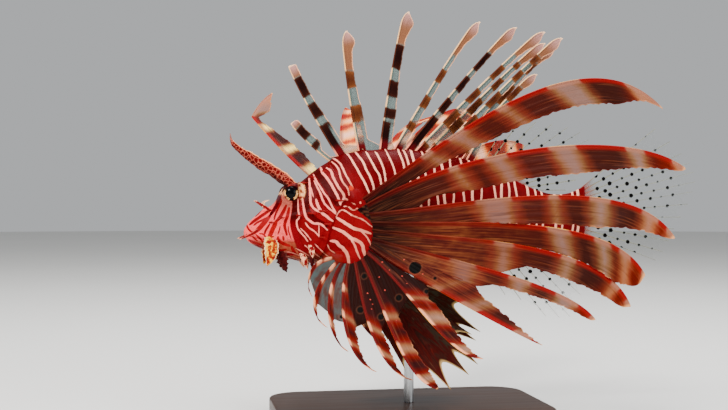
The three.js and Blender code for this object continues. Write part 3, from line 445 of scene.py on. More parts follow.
def pectoral_rays(side):
    """The curves of all rays of one pectoral fin, from its top ray down."""
    fin = LEFT_FIN if side == LEFT else RIGHT_FIN
    rays = []
    for i in range(PECTORAL_RAYS):
        rise = math.radians(fin["rise"][i])
        spread = math.radians(fin["spread"][i])
        reach = fin["reach"][i]
        tip = (FIN_CENTRE[0] + reach * math.cos(rise) * math.cos(spread),
               side * (FIN_CENTRE[1] + reach * math.sin(spread)),
               FIN_CENTRE[2] + reach * math.sin(rise) * math.cos(spread))
        line = [(x, side * y, z) for x, y, z in LOBE_LINE]
        root = catmull(line, lerp(LOBE_FIRST, LOBE_LAST, i / (PECTORAL_RAYS - 1)))
        curve = ray_curve(root, tip, fin["bow"][i], fin["droop"][i])
        if side == RIGHT and i == 0:
            def kinked(share, curve=curve):
                turned = np.maximum(0, (np.asarray(share) - KINK_FROM) / (1 - KINK_FROM))
                return curve(share) + turned[..., None] * np.array(KINK_SHIFT)
            rays.append(kinked)
        else:
            rays.append(curve)
    return rays


def place(points):
    """Millimetres in the fish's frame to metres in the row's frame."""
    return (np.asarray(points, float) + (-ROD_X, 0, AXIS_HEIGHT)) / 1000


def grid_faces(rows, columns, wrap=False):
    i = np.arange(rows - 1)[:, None]
    j = np.arange(columns if wrap else columns - 1)[None, :]
    after = (j + 1) % columns
    corners = [i * columns + j, i * columns + after, (i + 1) * columns + after, (i + 1) * columns + j]
    return np.stack(corners, -1).reshape(-1, 4)


def tube_faces(rows, around):
    """Faces of a closed tube of rings, whose two end points follow the rings in the list of points."""
    ring = np.arange(around)
    after = np.roll(ring, -1)
    last = (rows - 1) * around
    front = np.stack([np.full(around, rows * around), after, ring], -1)
    rear = np.stack([np.full(around, rows * around + 1), last + ring, last + after], -1)
    return [grid_faces(rows, around, wrap=True), front, rear]


def unit(v):
    return v / np.maximum(np.linalg.norm(v, axis=-1, keepdims=True), 1e-9)


def sheet_grid(centre, thick):
    """Points and faces of a closed thin sheet through a grid of centre points."""
    normal = unit(np.cross(np.gradient(centre, axis=0), np.gradient(centre, axis=1)))
    front = (centre + normal * thick[..., None] / 2).reshape(-1, 3)
    rear = (centre - normal * thick[..., None] / 2).reshape(-1, 3)
    total = thick.size
    index = np.arange(total).reshape(thick.shape)
    rim = np.concatenate([index[0], index[1:, -1], index[-1, -2::-1], index[-2:0:-1, 0]])
    after = np.roll(rim, -1)
    edge = np.stack([rim, total + rim, total + after, after], -1)
    faces = grid_faces(*thick.shape)
    return np.vstack([front, rear]), np.vstack([faces, faces[:, ::-1] + total, edge])


class Mesher:
    """Gathers points in the fish's frame, their faces and values, and makes one smooth mesh of them."""

    def __init__(self):
        self.points = []
        self.faces = []
        self.values = {}
        self.count = 0

    def add(self, points, face_groups, values):
        """A closed part: its points, groups of faces between them, and values for each point or for all."""
        self.points.append(points)
        for faces in face_groups:
            self.faces += (faces + self.count).tolist()
        for key, value in values.items():
            self.values.setdefault(key, []).append(np.broadcast_to(value, len(points)))
        self.count += len(points)

    def add_sheet(self, centre, thick, values):
        """A thin sheet through a grid of centre points, with values over the grid."""
        points, faces = sheet_grid(centre, thick)
        full = {key: np.tile(np.broadcast_to(value, thick.shape).ravel(), 2) for key, value in values.items()}
        self.add(points, [faces], full)

    def piece(self, name, material):
        """The finished object: faces turned outwards, one finish and the values as point attributes."""
        mesh = bpy.data.meshes.new(name)
        mesh.from_pydata(place(np.vstack(self.points)).tolist(), [], self.faces)
        mesh.materials.append(material)
        for key, parts in self.values.items():
            layer = mesh.attributes.new(key, "FLOAT", "POINT")
            layer.data.foreach_set("value", np.concatenate(parts).astype(np.float32))
        mesh.polygons.foreach_set("use_smooth", np.full(len(mesh.polygons), True))
        shell = bmesh.new()
        shell.from_mesh(mesh)
        bmesh.ops.recalc_face_normals(shell, faces=shell.faces)
        shell.to_mesh(mesh)
        shell.free()
        piece = bpy.data.objects.new(name, mesh)
        bpy.context.scene.collection.objects.link(piece)
        return piece


def ripple(*phases):
    """A repeatable uneven wave between about -1 and 1, from phases in radians."""
    total = 0
    for k, phase in enumerate(phases):
        total = total + np.sin(phase * (1 + 0.37 * k) + 1.7 * k) / (1 + 0.5 * k)
    return total / sum(1 / (1 + 0.5 * k) for k in range(len(phases)))


def line_distance(x, z, points, steps=28):
    """Distance in side view from points to a guide line, and the share along it of the nearest place."""
    line = catmull(points, np.linspace(0, 1, steps))
    best = np.full(x.shape, FAR_OFF)
    share = np.zeros(x.shape)
    low, high = line.min(0) - LINE_REACH, line.max(0) + LINE_REACH
    near = (x > low[0]) & (x < high[0]) & (z > low[1]) & (z < high[1])
    px, pz = x[near], z[near]
    found, along = np.full(px.shape, FAR_OFF), np.zeros(px.shape)
    for k, (a, b) in enumerate(zip(line[:-1], line[1:])):
        d = b - a
        t = np.clip(((px - a[0]) * d[0] + (pz - a[1]) * d[1]) / (d @ d), 0, 1)
        gap = np.hypot(px - a[0] - t * d[0], pz - a[1] - t * d[1])
        closer = gap < found
        found = np.where(closer, gap, found)
        along = np.where(closer, (k + t) / (steps - 1), along)
    best[near] = found
    share[near] = along
    return best, share


def band_signal(share, length, stops):
    """Millimetres along a ray to the nearest change of band: above 0 in a dark band, below 0 in a pale one."""
    stops = np.array(stops)
    gap = np.abs(share[..., None] - stops).min(-1) * length
    dark = np.searchsorted(stops, share) % 2 == 0
    return np.clip(np.where(dark, gap, -gap), -BAND_LIMIT, BAND_LIMIT)


def ray_section(half, width, core, outer, fullness, web_thick):
    """Places across a ray and its web, and the ray's thickness: round the ray, then out to the rear edge."""
    half = half[:, None]
    across = np.concatenate([half * core, half + (width[:, None] - half) * outer], axis=1)
    thick = np.maximum(2 * half * np.sqrt(np.clip(fullness - core ** 2, 0, 1)), web_thick)
    return across, thick


def lobe_rise(x, z, y):
    """How far the fleshy root of a pectoral fin stands out of the flank."""
    steps = np.linspace(0, 1, 60)
    gap = np.full(x.shape, FAR_OFF)
    out = np.zeros(x.shape)
    share = np.zeros(x.shape)
    for point, at in zip(catmull(LOBE_LINE, steps), steps):
        d = np.hypot(x - point[0], z - point[2])
        closer = d < gap
        gap = np.where(closer, d, gap)
        out = np.where(closer, point[1], out)
        share = np.where(closer, at, share)
    size = lerp(0.35, 1, np.sin(math.pi * lerp(0.12, 0.88, share)))
    dome = np.sqrt(np.clip(1 - (gap / (LOBE_WIDTH * size)) ** 2, 0, 1))
    target = out + LOBE_THICK * size * dome - LOBE_FOOT * (1 - dome)
    rise = np.where(gap < LOBE_WIDTH * size * 1.25, target - y, -9)
    return 0.5 * (rise + np.sqrt(rise * rise + 1.2)) - 0.03


def shape_skin(x, angle):
    """Points of the finished skin, with the relief of the head, gill cover, fin roots and back."""
    points = body_point(x, angle)
    side = np.sign(points[..., 1] + 1e-9)
    y = np.abs(points[..., 1])
    z = points[..., 2]
    facing = np.abs(np.cos(angle))
    flank = np.clip(facing * 3 - 0.4, 0, 1)
    y = y + lobe_rise(x, z, y) * flank

    gill, gill_share = line_distance(x, z, GILL_LINE, 40)
    edge = catmull(GILL_LINE, np.linspace(0, 1, 60))
    behind = x > np.interp(z, edge[::-1, 1], edge[::-1, 0])
    cover = np.where(behind, -0.35 * np.exp(-gill / 0.9), 1.15 * np.exp(-(gill / 5.5) ** 1.5))
    cover = cover * smoothstep(gill_share, 0.02, 0.2) * (1 - smoothstep(gill_share, 0.85, 1))
    y = y + cover * flank
    for height, width, line in CHEEK_RIDGES:
        gap, at = line_distance(x, z, line)
        fade = smoothstep(at, 0, 0.12) * (1 - smoothstep(at, 0.9, 1))
        y = y + height * bump(gap, width) * fade * flank

    # Mouth: two rolled lips with the closed slit between them.
    mouth = z - mouth_height(x)
    reach = 1 - smoothstep(x, MOUTH_CORNER_X - 3, MOUTH_CORNER_X + 0.5)
    lips = 1.1 * bump(mouth - 1.5, 1.1) + 1.0 * bump(mouth + 1.5, 1.1) - 1.7 * bump(mouth, 0.42)
    y = y + lips * reach * np.clip(facing * 2.4, 0, 1)

    # Eye socket: the skin swells round the eyeball, and folds of lid lap over its rim.
    gap = np.hypot(x - EYE[0], (z - EYE[2]) * 1.03)
    swell = lerp(y, EYE[1] + 3.0, 1 - smoothstep(gap, 6.5, 11.5))
    y = lerp(y, swell, flank)
    y = y + (1.2 * bump(gap - 5.6, 0.5) + 0.5 * bump(gap - 7.4, 0.5)) * flank
    y = np.where((gap < 5.4) & (flank > 0.5), lerp(EYE[1] - 1.0, y, smoothstep(gap, 4.6, 5.3)), y)

    # Nostril: a low tube with a hole.
    gap = np.hypot(x - NOSTRIL[0], z - NOSTRIL[1])
    y = y + (0.9 * bump(gap - 1.7, 0.5) - 1.1 * bump(gap, 0.85)) * flank

    # Back: the flesh climbs a little at each dorsal spine.
    top = np.maximum(np.sin(angle), 0) ** 24
    z = z + top * sum(0.9 * bump(x - base - 1.5, 2.2) for base in SPINE_BASES)

    # Lateral line along the flank, and a slight unevenness of the skin.
    level = lerp(16, 0, smoothstep(x, 70, 215))
    y = y - 0.22 * bump(z - level, 0.5) * smoothstep(x, 72, 80) * (1 - smoothstep(x, 236, 244)) * flank
    y = y + 0.07 * ripple(x * 0.9 + z * 0.35, z * 1.1 - x * 0.2, x * 0.5 + z * 0.8) * flank
    return np.stack([points[..., 0], side * y, z], -1)


def white_lines(x, z):
    """Signed distance in millimetres to the white lines in side view: below 0 inside one."""
    white = np.full(x.shape, CLEAR_OF_MARKS)
    for half, line in WHITE_LINES:
        gap, at = line_distance(x, z, line)
        taper = 1 - 0.45 * np.abs(2 * at - 1) ** 4
        white = np.minimum(white, gap - half * taper + 0.12 * ripple(x * 1.7 + half, z * 1.3))
    for k, bar in enumerate(FLANK_BARS):
        slant = 0.1 * smoothstep(-bar, -160, -110)
        middle = bar - slant * np.clip(z, -60, 60)
        middle = middle + 0.55 * np.sin(z * 0.23 + k * 2.1) * (bar < 200)
        half = BAR_HALF_WIDTHS[k % 3]
        thin = smoothstep(z, -34, -16)
        white = np.minimum(white, np.abs(x - middle) - half * thin + 0.5 * (1 - thin))
    return white


def dark_bands(x, z):
    """Signed distance to the broad dark bands, and how dark the nearest one is."""
    dark = np.full(x.shape, CLEAR_OF_MARKS)
    depth = np.zeros(x.shape)
    for half, line, first, last in DARK_BANDS:
        gap, at = line_distance(x, z, line)
        inside = gap - half
        depth = np.where(inside < dark, lerp(first, last, smoothstep(at, 0.35, 0.7)), depth)
        dark = np.minimum(dark, inside)
    return dark, depth


def face_lines(x, z):
    """Signed distance to the red lines of the face with the hair lines between them, and how dark they are."""
    red = np.full(x.shape, CLEAR_OF_MARKS)
    second = np.full(x.shape, CLEAR_OF_MARKS)
    depth = np.zeros(x.shape)
    for half, line, deep in FACE_LINES:
        gap, at = line_distance(x, z, line)
        inside = gap - 1.4 * half * (1 - 0.4 * np.abs(2 * at - 1) ** 3)
        depth = np.where(inside < red, deep, depth)
        second = np.minimum(second, np.maximum(red, inside))
        red = np.minimum(red, inside)
    hair = (second - red) / 2 - 0.05 + 0.6 * (1 - smoothstep(red, 0.5, 1.0))
    return np.minimum(red, hair), np.where(hair < red, 0.2, depth)


def skin_marks(points):
    """What the skin's finish reads: signed distances to marks, and shares from 0 to 1 of its regions."""
    x, z = points[:, 0], points[:, 2]
    dark, depth = dark_bands(x, z)
    red, face_depth = face_lines(x, z)
    edge = catmull(FACE_EDGE, np.linspace(0, 1, 40))
    ahead = np.interp(z, edge[::-1, 1], edge[::-1, 0]) - x
    cream = np.minimum(
        np.hypot(x - 40.6, (z - 15) / 2.2) - 2.5,
        np.hypot(x - 28.3, (z - 14.2) / 1.2) - 2.2)
    cream = np.maximum(cream, 1.3 - np.hypot(x - 39.2, z - 18.6))
    # The fold behind the top of the fin root, and the streaks that fan out in it.
    folded = np.abs(z - FOLD_Z - FOLD_RISE * (x - FOLD_X)) - FOLD_OPEN * (x - FOLD_X)
    folded = np.maximum(folded, np.maximum(FOLD_X - x, x - FOLD_END))
    turn = np.arctan2(z - FOLD_Z, np.maximum(x - FOLD_X, 0.1) + 4)
    before_gill = smoothstep(-x, -60, -40)
    on_nape = smoothstep(-x, -62, -40) * smoothstep(z, 2, 16)
    return {
        "white": np.clip(white_lines(x, z), -3, 5),
        "dark": np.clip(dark, -3, 5),
        "depth": depth,
        "red": np.clip(red, -3, 5),
        "face_depth": face_depth,
        "face": np.clip(ahead, -6, 6),
        "cream": np.clip(cream, -4, 5),
        "warm": np.clip(np.hypot(x - WARM_SPOT[0], z - WARM_SPOT[1]) - WARM_SPOT[2], -4, 5),
        "throat": smoothstep(-z, 22, 33) * (1 - smoothstep(x, 60, 75)),
        "nape": np.maximum(on_nape, 0.9 * smoothstep(z, 24, 38)),
        "jaw": smoothstep(-z, 17.5, 21) * smoothstep(x, 5, 9) * before_gill,
        "lobe": smoothstep(-line_distance(x, z, [(q[0], q[2]) for q in LOBE_LINE])[0], -9, -6),
        "length": x,
        "folded": np.clip(folded, -4, 5),
        "pleat": smoothstep(np.sin(turn * 34), 0.2, 0.9) * 0.8,
        "glow": smoothstep(-z, -10, 2) * smoothstep(x, 36, 44) * (1 - smoothstep(x, 84, 92)),
        "socket": np.clip(np.hypot(x - EYE[0], z - EYE[2]), 0, 20),
        "brow": smoothstep(z - EYE[2] - 0.6 * (EYE[0] - x), 3.5, 7),
    }


def build_skin(material):
    """One closed skin of head, trunk and tail, with its marks as point values."""
    rings = [np.linspace(low, high, count, endpoint=False) for low, high, count in SKIN_SPANS]
    stops = np.concatenate([*rings, [SKIN_SPANS[-1][1]]])
    angles = 2 * math.pi * np.arange(SKIN_SIDES) / SKIN_SIDES
    grid = shape_skin(stops[:, None] + 0 * angles, angles + 0 * stops[:, None])
    snout = grid[0].mean(0)
    closing = [lerp(grid[0], snout, share) - (reach, 0, 0) for share, reach in SNOUT_RINGS]
    grid = np.concatenate([closing, grid])
    ends = [grid[0].mean(0) - (0.1, 0, 0), grid[-1].mean(0)]
    points = np.vstack([grid.reshape(-1, 3), ends])
    skin = Mesher()
    skin.add(points, tube_faces(len(grid), SKIN_SIDES), skin_marks(points))
    return skin.piece("skin", material)


def strap_width(i, share, side):
    if side == RIGHT and i == 0:
        return np.interp(share, FAR_LEAF_AT, FAR_LEAF_WIDTH) * lerp(1.35, 1, smoothstep(share, 0.5, 0.66))
    opened = smoothstep(share, 0, OPEN_ENDS[i])
    closing = np.clip((share - TAPER_FROM[i]) / (1 - TAPER_FROM[i]), 0, 1)
    return FLAP_WIDTHS[i] * lerp(0.4, 1, opened) * (1 - closing) ** TAPER_POWER[i]


def add_strap(fin, rays, i, first, end, side):
    """Adds one pectoral ray with the web that it carries."""
    rows = UPPER_ROWS if i < UPPER_RAYS else LOWER_ROWS
    share = np.linspace(0, 1, rows)
    line = rays[i](share)
    towards = i + 1 if i < TRAILING_RAYS else i - 1
    shared = (i < TRAILING_RAYS) != (towards < TRAILING_RAYS)
    clearance = 1.9 if towards < first or towards >= end else 0
    sideways = rays[towards](share) - line
    span = np.linalg.norm(sideways, axis=1) * (0.53 if shared else 1) - clearance
    sideways = unit(sideways)
    if side == RIGHT and i == 0:
        facing = unit(sideways * (1, 0.3, 1))
        sideways = unit(lerp(sideways, facing, smoothstep(share, 0.02, 0.12)[:, None]))
    free = smoothstep(share, WEB_ENDS[i], WEB_ENDS[i] + 0.08)
    own = strap_width(i, share, side)
    width = np.maximum(np.minimum(span, lerp(span, own, free)), 0.4)
    length = np.linalg.norm(np.diff(line, axis=0), axis=1).sum()
    along = share * length
    fray = free * smoothstep(-share, -0.97, -0.9)
    notch = 0.6 * ripple(along * 0.9 + i, along * 0.37 + 2 * i) + 0.5 * ripple(along * 2.1, along * 3.3 + i)
    width = width - fray * np.maximum(0, 0.5 + notch) * 0.9
    half = np.minimum(lerp(RAY_ROOT, RAY_TIP, share), width) / 2

    outer = np.linspace(0, 1, WEB_COLUMNS)[1:]
    across, core_thick = ray_section(half, width, RAY_CORE, outer, 1.06, WEB_THICK)
    folds = 0.12 * np.sin(across[:, len(RAY_CORE):] * 2.6 + 0.05 * along[:, None])
    thick = np.concatenate([core_thick, np.maximum(WEB_THICK * lerp(1, 0.6, outer) + folds, 0.24)], axis=1)
    centre = line[:, None, :] + sideways[:, None, :] * across[..., None]
    normal = unit(np.cross(np.gradient(centre, axis=0), np.gradient(centre, axis=1)))
    outward = np.maximum(across, 0)
    wave = 0.9 * np.sin(along[:, None] * 0.085 + i * 1.3) * (outward / 12) ** 1.3
    wave = wave + 0.35 * ripple(along[:, None] * 0.35 + i, across * 0.8) * (outward / 12)
    centre = centre + normal * (wave * free[:, None])[..., None]

    def round_marks(places):
        """Signed distance to round marks, each at a share along the ray and a share of the web's width."""
        gap = np.full(across.shape, 9.0)
        for at, side_share, radius in places:
            row = int(at * (rows - 1))
            target = line[row] + sideways[row] * width[row] * side_share
            gap = np.minimum(gap, np.linalg.norm(centre - target, axis=-1) - radius)
        return np.clip(gap, -4, 9)

    flesh = np.maximum(lerp(2.2, own, smoothstep(share, 0.08, WEB_ENDS[i] + 0.06)), 1e-6)[:, None]
    fin.add_sheet(centre, thick, {
        "band": band_signal(share[:, None] - 0.55 / length * outward, length, PALE_STOPS[side][i]),
        "across": across,
        "rim": width[:, None] - across,
        "along": along[:, None],
        "share": share[:, None],
        "ray": i,
        "spot": round_marks(EYE_SPOTS.get(i, ())),
        "dot": round_marks(PALE_DOTS.get(i, ())),
        "web": smoothstep(across, flesh * 0.85, flesh * 1.15) * (i >= UPPER_RAYS),
        # Painted sunlight: marks the outer parts of the far fin's upper rays, after the first, to be painted
        # brighter.
        "painted_sun": (side == RIGHT and 0 < i < UPPER_RAYS) * smoothstep(share, 0.3, 0.45)[:, None],
        "olive": (side == RIGHT and i == 0) * (1 - smoothstep(share, 0.66, 0.72))[:, None],
    })


def build_fin(name, side, first, end, material):
    rays = pectoral_rays(side)
    fin = Mesher()
    for i in range(first, end):
        add_strap(fin, rays, i, first, end, side)
    return fin.piece(name, material)


def add_spine(comb, i):
    """Adds one dorsal spine with the narrow web behind it and, but for the first two, its leaf-shaped tip."""
    share = np.linspace(0, 1, SPINE_ROWS)
    lean = math.radians(SPINE_LEANS[i])
    splay = math.radians(SPINE_SPLAY if i % 2 else -SPINE_SPLAY)
    way = unit(np.array([math.sin(lean), math.sin(splay), math.cos(lean)]))
    base_x = SPINE_BASES[i]
    base = np.array([base_x, 0, skin_height(base_x, math.pi / 2)])
    tip = base + way * SPINE_LENGTHS[i]
    line = ray_curve(base - way * SPINE_SINK, tip, SPINE_BOW, SPINE_BOW)(share)
    sideways = np.array([math.cos(lean), 0, -math.sin(lean)])
    after = SPINE_BASES[i + 1] if i + 1 < len(SPINE_BASES) else base_x + SPINE_STRAP
    length = SPINE_LENGTHS[i] + SPINE_SINK
    along = share * length
    rear_spine = i > LAST_BROAD_SPINE
    blunt = i < BLUNT_SPINES
    web = (after - base_x) * 1.2 * (1 - smoothstep(share, 0.02, SPINE_WEB))
    own = lerp(SPINE_LOW, SPINE_STRAP, smoothstep(share, 0.2, 0.6)) * (0.64 if rear_spine else 1)
    if i == 0:
        own = own * lerp(0.3, 1, smoothstep(share, 0.28, 0.42))
    leaf_size = 0 if blunt else 1.0 if rear_spine else 1.3
    leaf = (SPINE_LEAF - SPINE_STRAP) * bump(share - SPINE_LEAF_AT, SPINE_LEAF_SPAN) * leaf_size
    to_tip = np.clip((along[-1] - along) / (5 if blunt else 17), 0, 1)
    closed = (1 - (1 - to_tip) ** 2) ** 0.6 if blunt else (1 - (1 - to_tip) ** 1.7) ** 0.9
    width = np.maximum(np.maximum(web, (own + leaf) * closed), 0.5)
    width = width + 0.25 * ripple(along * 0.6 + i, along * 1.7) * smoothstep(share, 0.15, 0.3) * closed
    # The leaf's front edge curves back towards the middle of its tip.
    tuck = (0 if blunt else 3.0) * (1 - to_tip) ** 2.2
    half = np.minimum(lerp(SPINE_ROOT, SPINE_TIP, share), width) / 2
    outer = np.linspace(0, 1, SPINE_COLUMNS)[1:]
    across, core_thick = ray_section(half, width, SPINE_CORE, outer, 1.08, 0.5)
    thick = np.concatenate([core_thick, lerp(0.5, 0.3, outer) + 0 * across[:, len(SPINE_CORE):]], axis=1)
    centre = line[:, None, :] + sideways * (across + tuck[:, None])[..., None]
    bend = 0.5 * np.sin(along[:, None] * 0.13 + i) * (np.maximum(across, 0) / 5)
    centre = centre + np.array([0, 1, 0]) * (bend * smoothstep(share, 0.2, 0.4)[:, None])[..., None]
    stops = PALE_STOPS_SPINES[i]
    comb.add_sheet(centre, thick, {
        "band": band_signal(share, length, stops)[:, None],
        "across": across,
        "rim": width[:, None] - across,
        "along": along[:, None],
        "share": share[:, None],
        "tone": 0.0 if i in DARK_SPINES else 1.0,
        "leaf": ((share - stops[-1]) * length - (11 if i in CLEAR_NECKED_SPINES else 0))[:, None],
        "root": (along - SPINE_SINK + (6 if i == 0 else 0))[:, None],
    })


def build_spines(material):
    comb = Mesher()
    for i in range(len(SPINE_BASES)):
        add_spine(comb, i)
    return comb.piece("dorsal_spines_banded", material)


def web_fin(name, roots, tips, material, rows, per_gap, ray, scallop=0.08, wave=0, spots=None, web_thick=0.35):
    """A fin whose web reaches its edge between rays, with each ray a round ridge in the web's own surface."""
    roots, tips = np.array(roots, float), np.array(tips, float)
    gaps = len(roots) - 1
    at = np.linspace(0, gaps, gaps * per_gap + 1)
    k = np.minimum(at.astype(int), gaps - 1)
    t = (at - k)[:, None]
    share = np.linspace(0, 1, rows)[:, None]
    root = lerp(roots[k], roots[k + 1], t)
    tip = lerp(tips[k], tips[k + 1], t)
    off = np.abs(at - np.round(at)) * 2
    reach = share * (1 - scallop * np.sin(off * math.pi / 2) ** 0.8)
    centre = root + (tip - root) * reach[..., None]
    centre[..., 1] += wave * share * np.sin(at / gaps * math.pi * 3)
    nearest = np.round(at).astype(int)
    ray_line = roots[nearest] + (tips[nearest] - roots[nearest]) * share[..., None]
    ray_line[..., 1] += wave * share * np.sin(nearest / gaps * math.pi * 3)
    gap = np.linalg.norm(centre - ray_line, axis=-1)
    thick_ray = lerp(ray, 0.5, share)
    thick = np.maximum(thick_ray * np.sqrt(np.clip(1 - (gap / (thick_ray * 0.6)) ** 2, 0, 1)), web_thick)
    lengths = np.linalg.norm(tips - roots, axis=1)
    spot = np.full(gap.shape, 9.0)
    pitch, first, size = spots or (1, 0, 0)
    for n, length in enumerate(lengths if spots else ()):
        for m in range(int((length - first) / pitch)):
            offset = pitch * (0.5 if n % 2 else 0.0)
            d = (first + offset + m * pitch + 0.9 * math.sin(n * 2.3 + m * 1.7)) / length
            if d > 0.98:
                continue
            middle = roots[n] + (tips[n] - roots[n]) * d
            middle[1] += wave * d * math.sin(n / gaps * math.pi * 3)
            radius = size * (0.88 + 0.2 * math.sin(n * 3.1 + m * 2.3)) * lerp(1.1, 0.7, d)
            spot = np.minimum(spot, np.linalg.norm(centre - middle, axis=-1) - radius)
    fin = Mesher()
    fin.add_sheet(centre, thick, {
        "gap": gap,
        "share": share,
        "spread": at / gaps,
        "along": share * lengths[nearest],
        "spot": np.clip(spot, -4, 9),
    })
    return fin.piece(name, material)


def fan_point(root, length, degrees):
    turn = math.radians(degrees)
    return np.array([root[0] + length * math.cos(turn), root[1], root[2] + length * math.sin(turn)])


def skin_height(x, angle):
    return float(body_point(np.array(float(x)), angle)[2])


def edge_fin(name, table, angle, material, wave, scallop):
    """The soft dorsal or the anal fin, along the back or the belly."""
    roots, tips = [], []
    for n, (length, degrees) in enumerate(zip(table["lengths"], table["angles"])):
        x = lerp(table["from"], table["to"], n / (len(table["lengths"]) - 1))
        z = skin_height(x, angle)
        roots.append((x, 0, z - table["sink"]))
        tips.append(fan_point((x, 0, z), length, degrees))
    return web_fin(name, roots, tips, material, 84, 10, 0.8, scallop, wave, EDGE_FIN_SPOTS)


def caudal_fin(material):
    x, top, bottom = BODY_STATIONS[-1][:3]
    roots, tips = [], []
    for n, (length, degrees) in enumerate(zip(CAUDAL["lengths"], CAUDAL["angles"])):
        z = lerp(top - 1.5, bottom + 1.5, n / (len(CAUDAL["lengths"]) - 1))
        roots.append((x - 3, 0, z))
        tips.append(fan_point((x, 0, z), length, degrees))
    return web_fin("caudal_fin_clear", roots, tips, material, 110, 10, 0.85, wave=3, spots=CAUDAL_SPOTS)


def pelvic_fin(side, material):
    table = LEFT_PELVIC if side == LEFT else RIGHT_PELVIC
    z = skin_height(PELVIC_X, -math.pi / 2)
    roots, tips = [], []
    for n, (length, degrees) in enumerate(zip(table["lengths"], table["angles"])):
        t = n / (len(table["lengths"]) - 1)
        x, y = PELVIC_X + PELVIC_LENGTH * t, side * PELVIC_Y * (1 - t / 2)
        roots.append((x, y, z + PELVIC_SINK))
        tips.append(fan_point((x, y, z), length, degrees) + (0, side * PELVIC_SPREAD[n], 0))
    name = f"pelvic_fin_{SIDE_NAMES[side]}_dark"
    return web_fin(name, roots, tips, material, 90, 14, 1.4, scallop=0.16, web_thick=0.5)


def add_frond(flaps, tone, points, width_at, thick, rows, around, frill=0.0, seed=0.0):
    """Adds a flat fleshy flap along a curve: an oval section that thins to its tip, with an uneven rim."""
    share = np.linspace(0, 1, rows)
    line = catmull(points, share)
    along = unit(np.gradient(line, axis=0))
    across = unit(np.stack([-along[:, 2], 0 * share, along[:, 0]], -1))
    outward = np.cross(along, across)
    width = np.maximum(width_at(share), 0.3)
    depth = np.minimum(thick * lerp(1, 0.4, share), width)
    turn = 2 * math.pi * np.arange(around) / around
    c, s = np.cos(turn), np.sin(turn)
    ruffle = 1 + frill * ripple(share[:, None] * 31 + seed + turn, share[:, None] * 57 + 2 * seed) * np.abs(c)
    sideways = across[:, None, :] * (c * ruffle * width[:, None] / 2)[..., None]
    bulge = outward[:, None, :] * (s * depth[:, None] / 2)[..., None]
    grid = line[:, None, :] + sideways + bulge
    length = np.linalg.norm(np.diff(line, axis=0), axis=1).sum()
    everywhere = np.vstack([grid.reshape(-1, 3), line[:1], line[-1:] + along[-1:] * 0.2])
    flaps.add(everywhere, tube_faces(rows, around), {
        "share": np.concatenate([np.repeat(share, around), [0, 1]]),
        "side": np.concatenate([np.tile(c, rows), [0, 0]]),
        "length": np.concatenate([np.repeat(share * length, around), [0, 0]]),
        "tone": tone,
    })


def brow_tentacle(side, material):
    back = 2 if side == RIGHT else 0
    line = [(x + back, side * y, z) for x, y, z in TENTACLE_LINE]
    tentacle = Mesher()
    add_frond(tentacle, 0, line, lambda s: np.interp(s, TENTACLE_AT, TENTACLE_WIDTH), 2.6, 150, 20, 0.10, side)
    for at, reach, width in TENTACLE_SPURS:
        root = catmull(line, np.array(at))
        spur = [root, root + (-reach * 0.35, 0, reach * 0.9), root + (-reach * 0.5, 0, reach * 1.7)]
        add_frond(tentacle, 1, spur, lambda s, w=width: lerp(w, 0.25, s), 0.7, 10, 8)
    return tentacle.piece(f"brow_tentacle_{SIDE_NAMES[side]}_mottled", material)


def side_width(x, z):
    """How far out the skin lies at a place in side view."""
    low, high = -math.pi / 2, math.pi / 2
    for _ in range(24):
        middle = (low + high) / 2
        point = shape_skin(np.array([[float(x)]]), np.array([[middle]]))[0, 0]
        low, high = (middle, high) if point[2] < z else (low, middle)
    return float(point[1])


def face_trim(side, material):
    """Skin flaps and small head spines of one side."""
    flaps = Mesher()
    for tone, wide, thick, frill, offsets, (x, z) in FACE_FLAPS:
        y = side_width(x, z)
        line = [(x + dx, side * (y + dy), z + dz) for dx, dy, dz in offsets]
        add_frond(flaps, tone, line, lambda s, w=wide: w * np.sin(math.pi * lerp(0.28, 0.97, s)), thick,
                  34, 16, frill, x)
    for tone, (wide, narrow, power), thick, rows, around, guide in FACE_TUBES:
        line = [(x, side * y, z) for x, y, z in guide]
        add_frond(flaps, tone, line, lambda s, a=wide, b=narrow, p=power: lerp(a, b, s ** p), thick,
                  rows, around)
    for x, z, back, out, radius in HEAD_THORNS:
        y = side_width(x, z)
        line = [(x - 0.3, side * (y - 1.2), z), (x + back * 0.45, side * (y + out * 0.62), z),
                (x + back, side * (y + out), z)]
        add_frond(flaps, 6, line, lambda s, r=radius: lerp(1.7 * r, 0.3, s), 1.7 * radius, 10, 10)
    return flaps.piece(f"face_flaps_{SIDE_NAMES[side]}", material)


def build_eye(side, material):
    """An eyeball with a domed front; its finish reads how far each point lies from the optical axis."""
    turn = 2 * math.pi * np.arange(EYE_AROUND) / EYE_AROUND
    tilt = np.linspace(0, math.pi, EYE_RINGS)[1:-1]
    axis = unit(np.array([-0.10, side * 1.0, 0.04]))
    up = unit(np.cross(axis, np.array([1.0, 0, 0])))
    ahead = np.cross(up, axis)
    radius = EYE_RADIUS - 0.1 + 0.1 * bump(tilt, 0.5)
    centre = np.array([EYE[0], side * (EYE[1] - 0.6), EYE[2]])
    round_way = np.cos(turn)[:, None] * ahead + np.sin(turn)[:, None] * up
    grid = np.cos(tilt)[:, None, None] * axis + np.sin(tilt)[:, None, None] * round_way
    grid = centre + radius[:, None, None] * grid
    points = np.vstack([grid.reshape(-1, 3), [centre + axis * radius[0]], [centre - axis * radius[-1]]])
    eyeball = Mesher()
    eyeball.add(points, tube_faces(len(tilt), EYE_AROUND), {
        "arc": np.concatenate([np.repeat(tilt * EYE_RADIUS, EYE_AROUND), [0, math.pi * EYE_RADIUS]]),
        "forward": centre[0] - points[:, 0],
        "height": points[:, 2] - centre[2],
    })
    return eyeball.piece(f"eyeball_{SIDE_NAMES[side]}", material)


def deselect():
    for item in bpy.context.selected_objects:
        item.select_set(False)


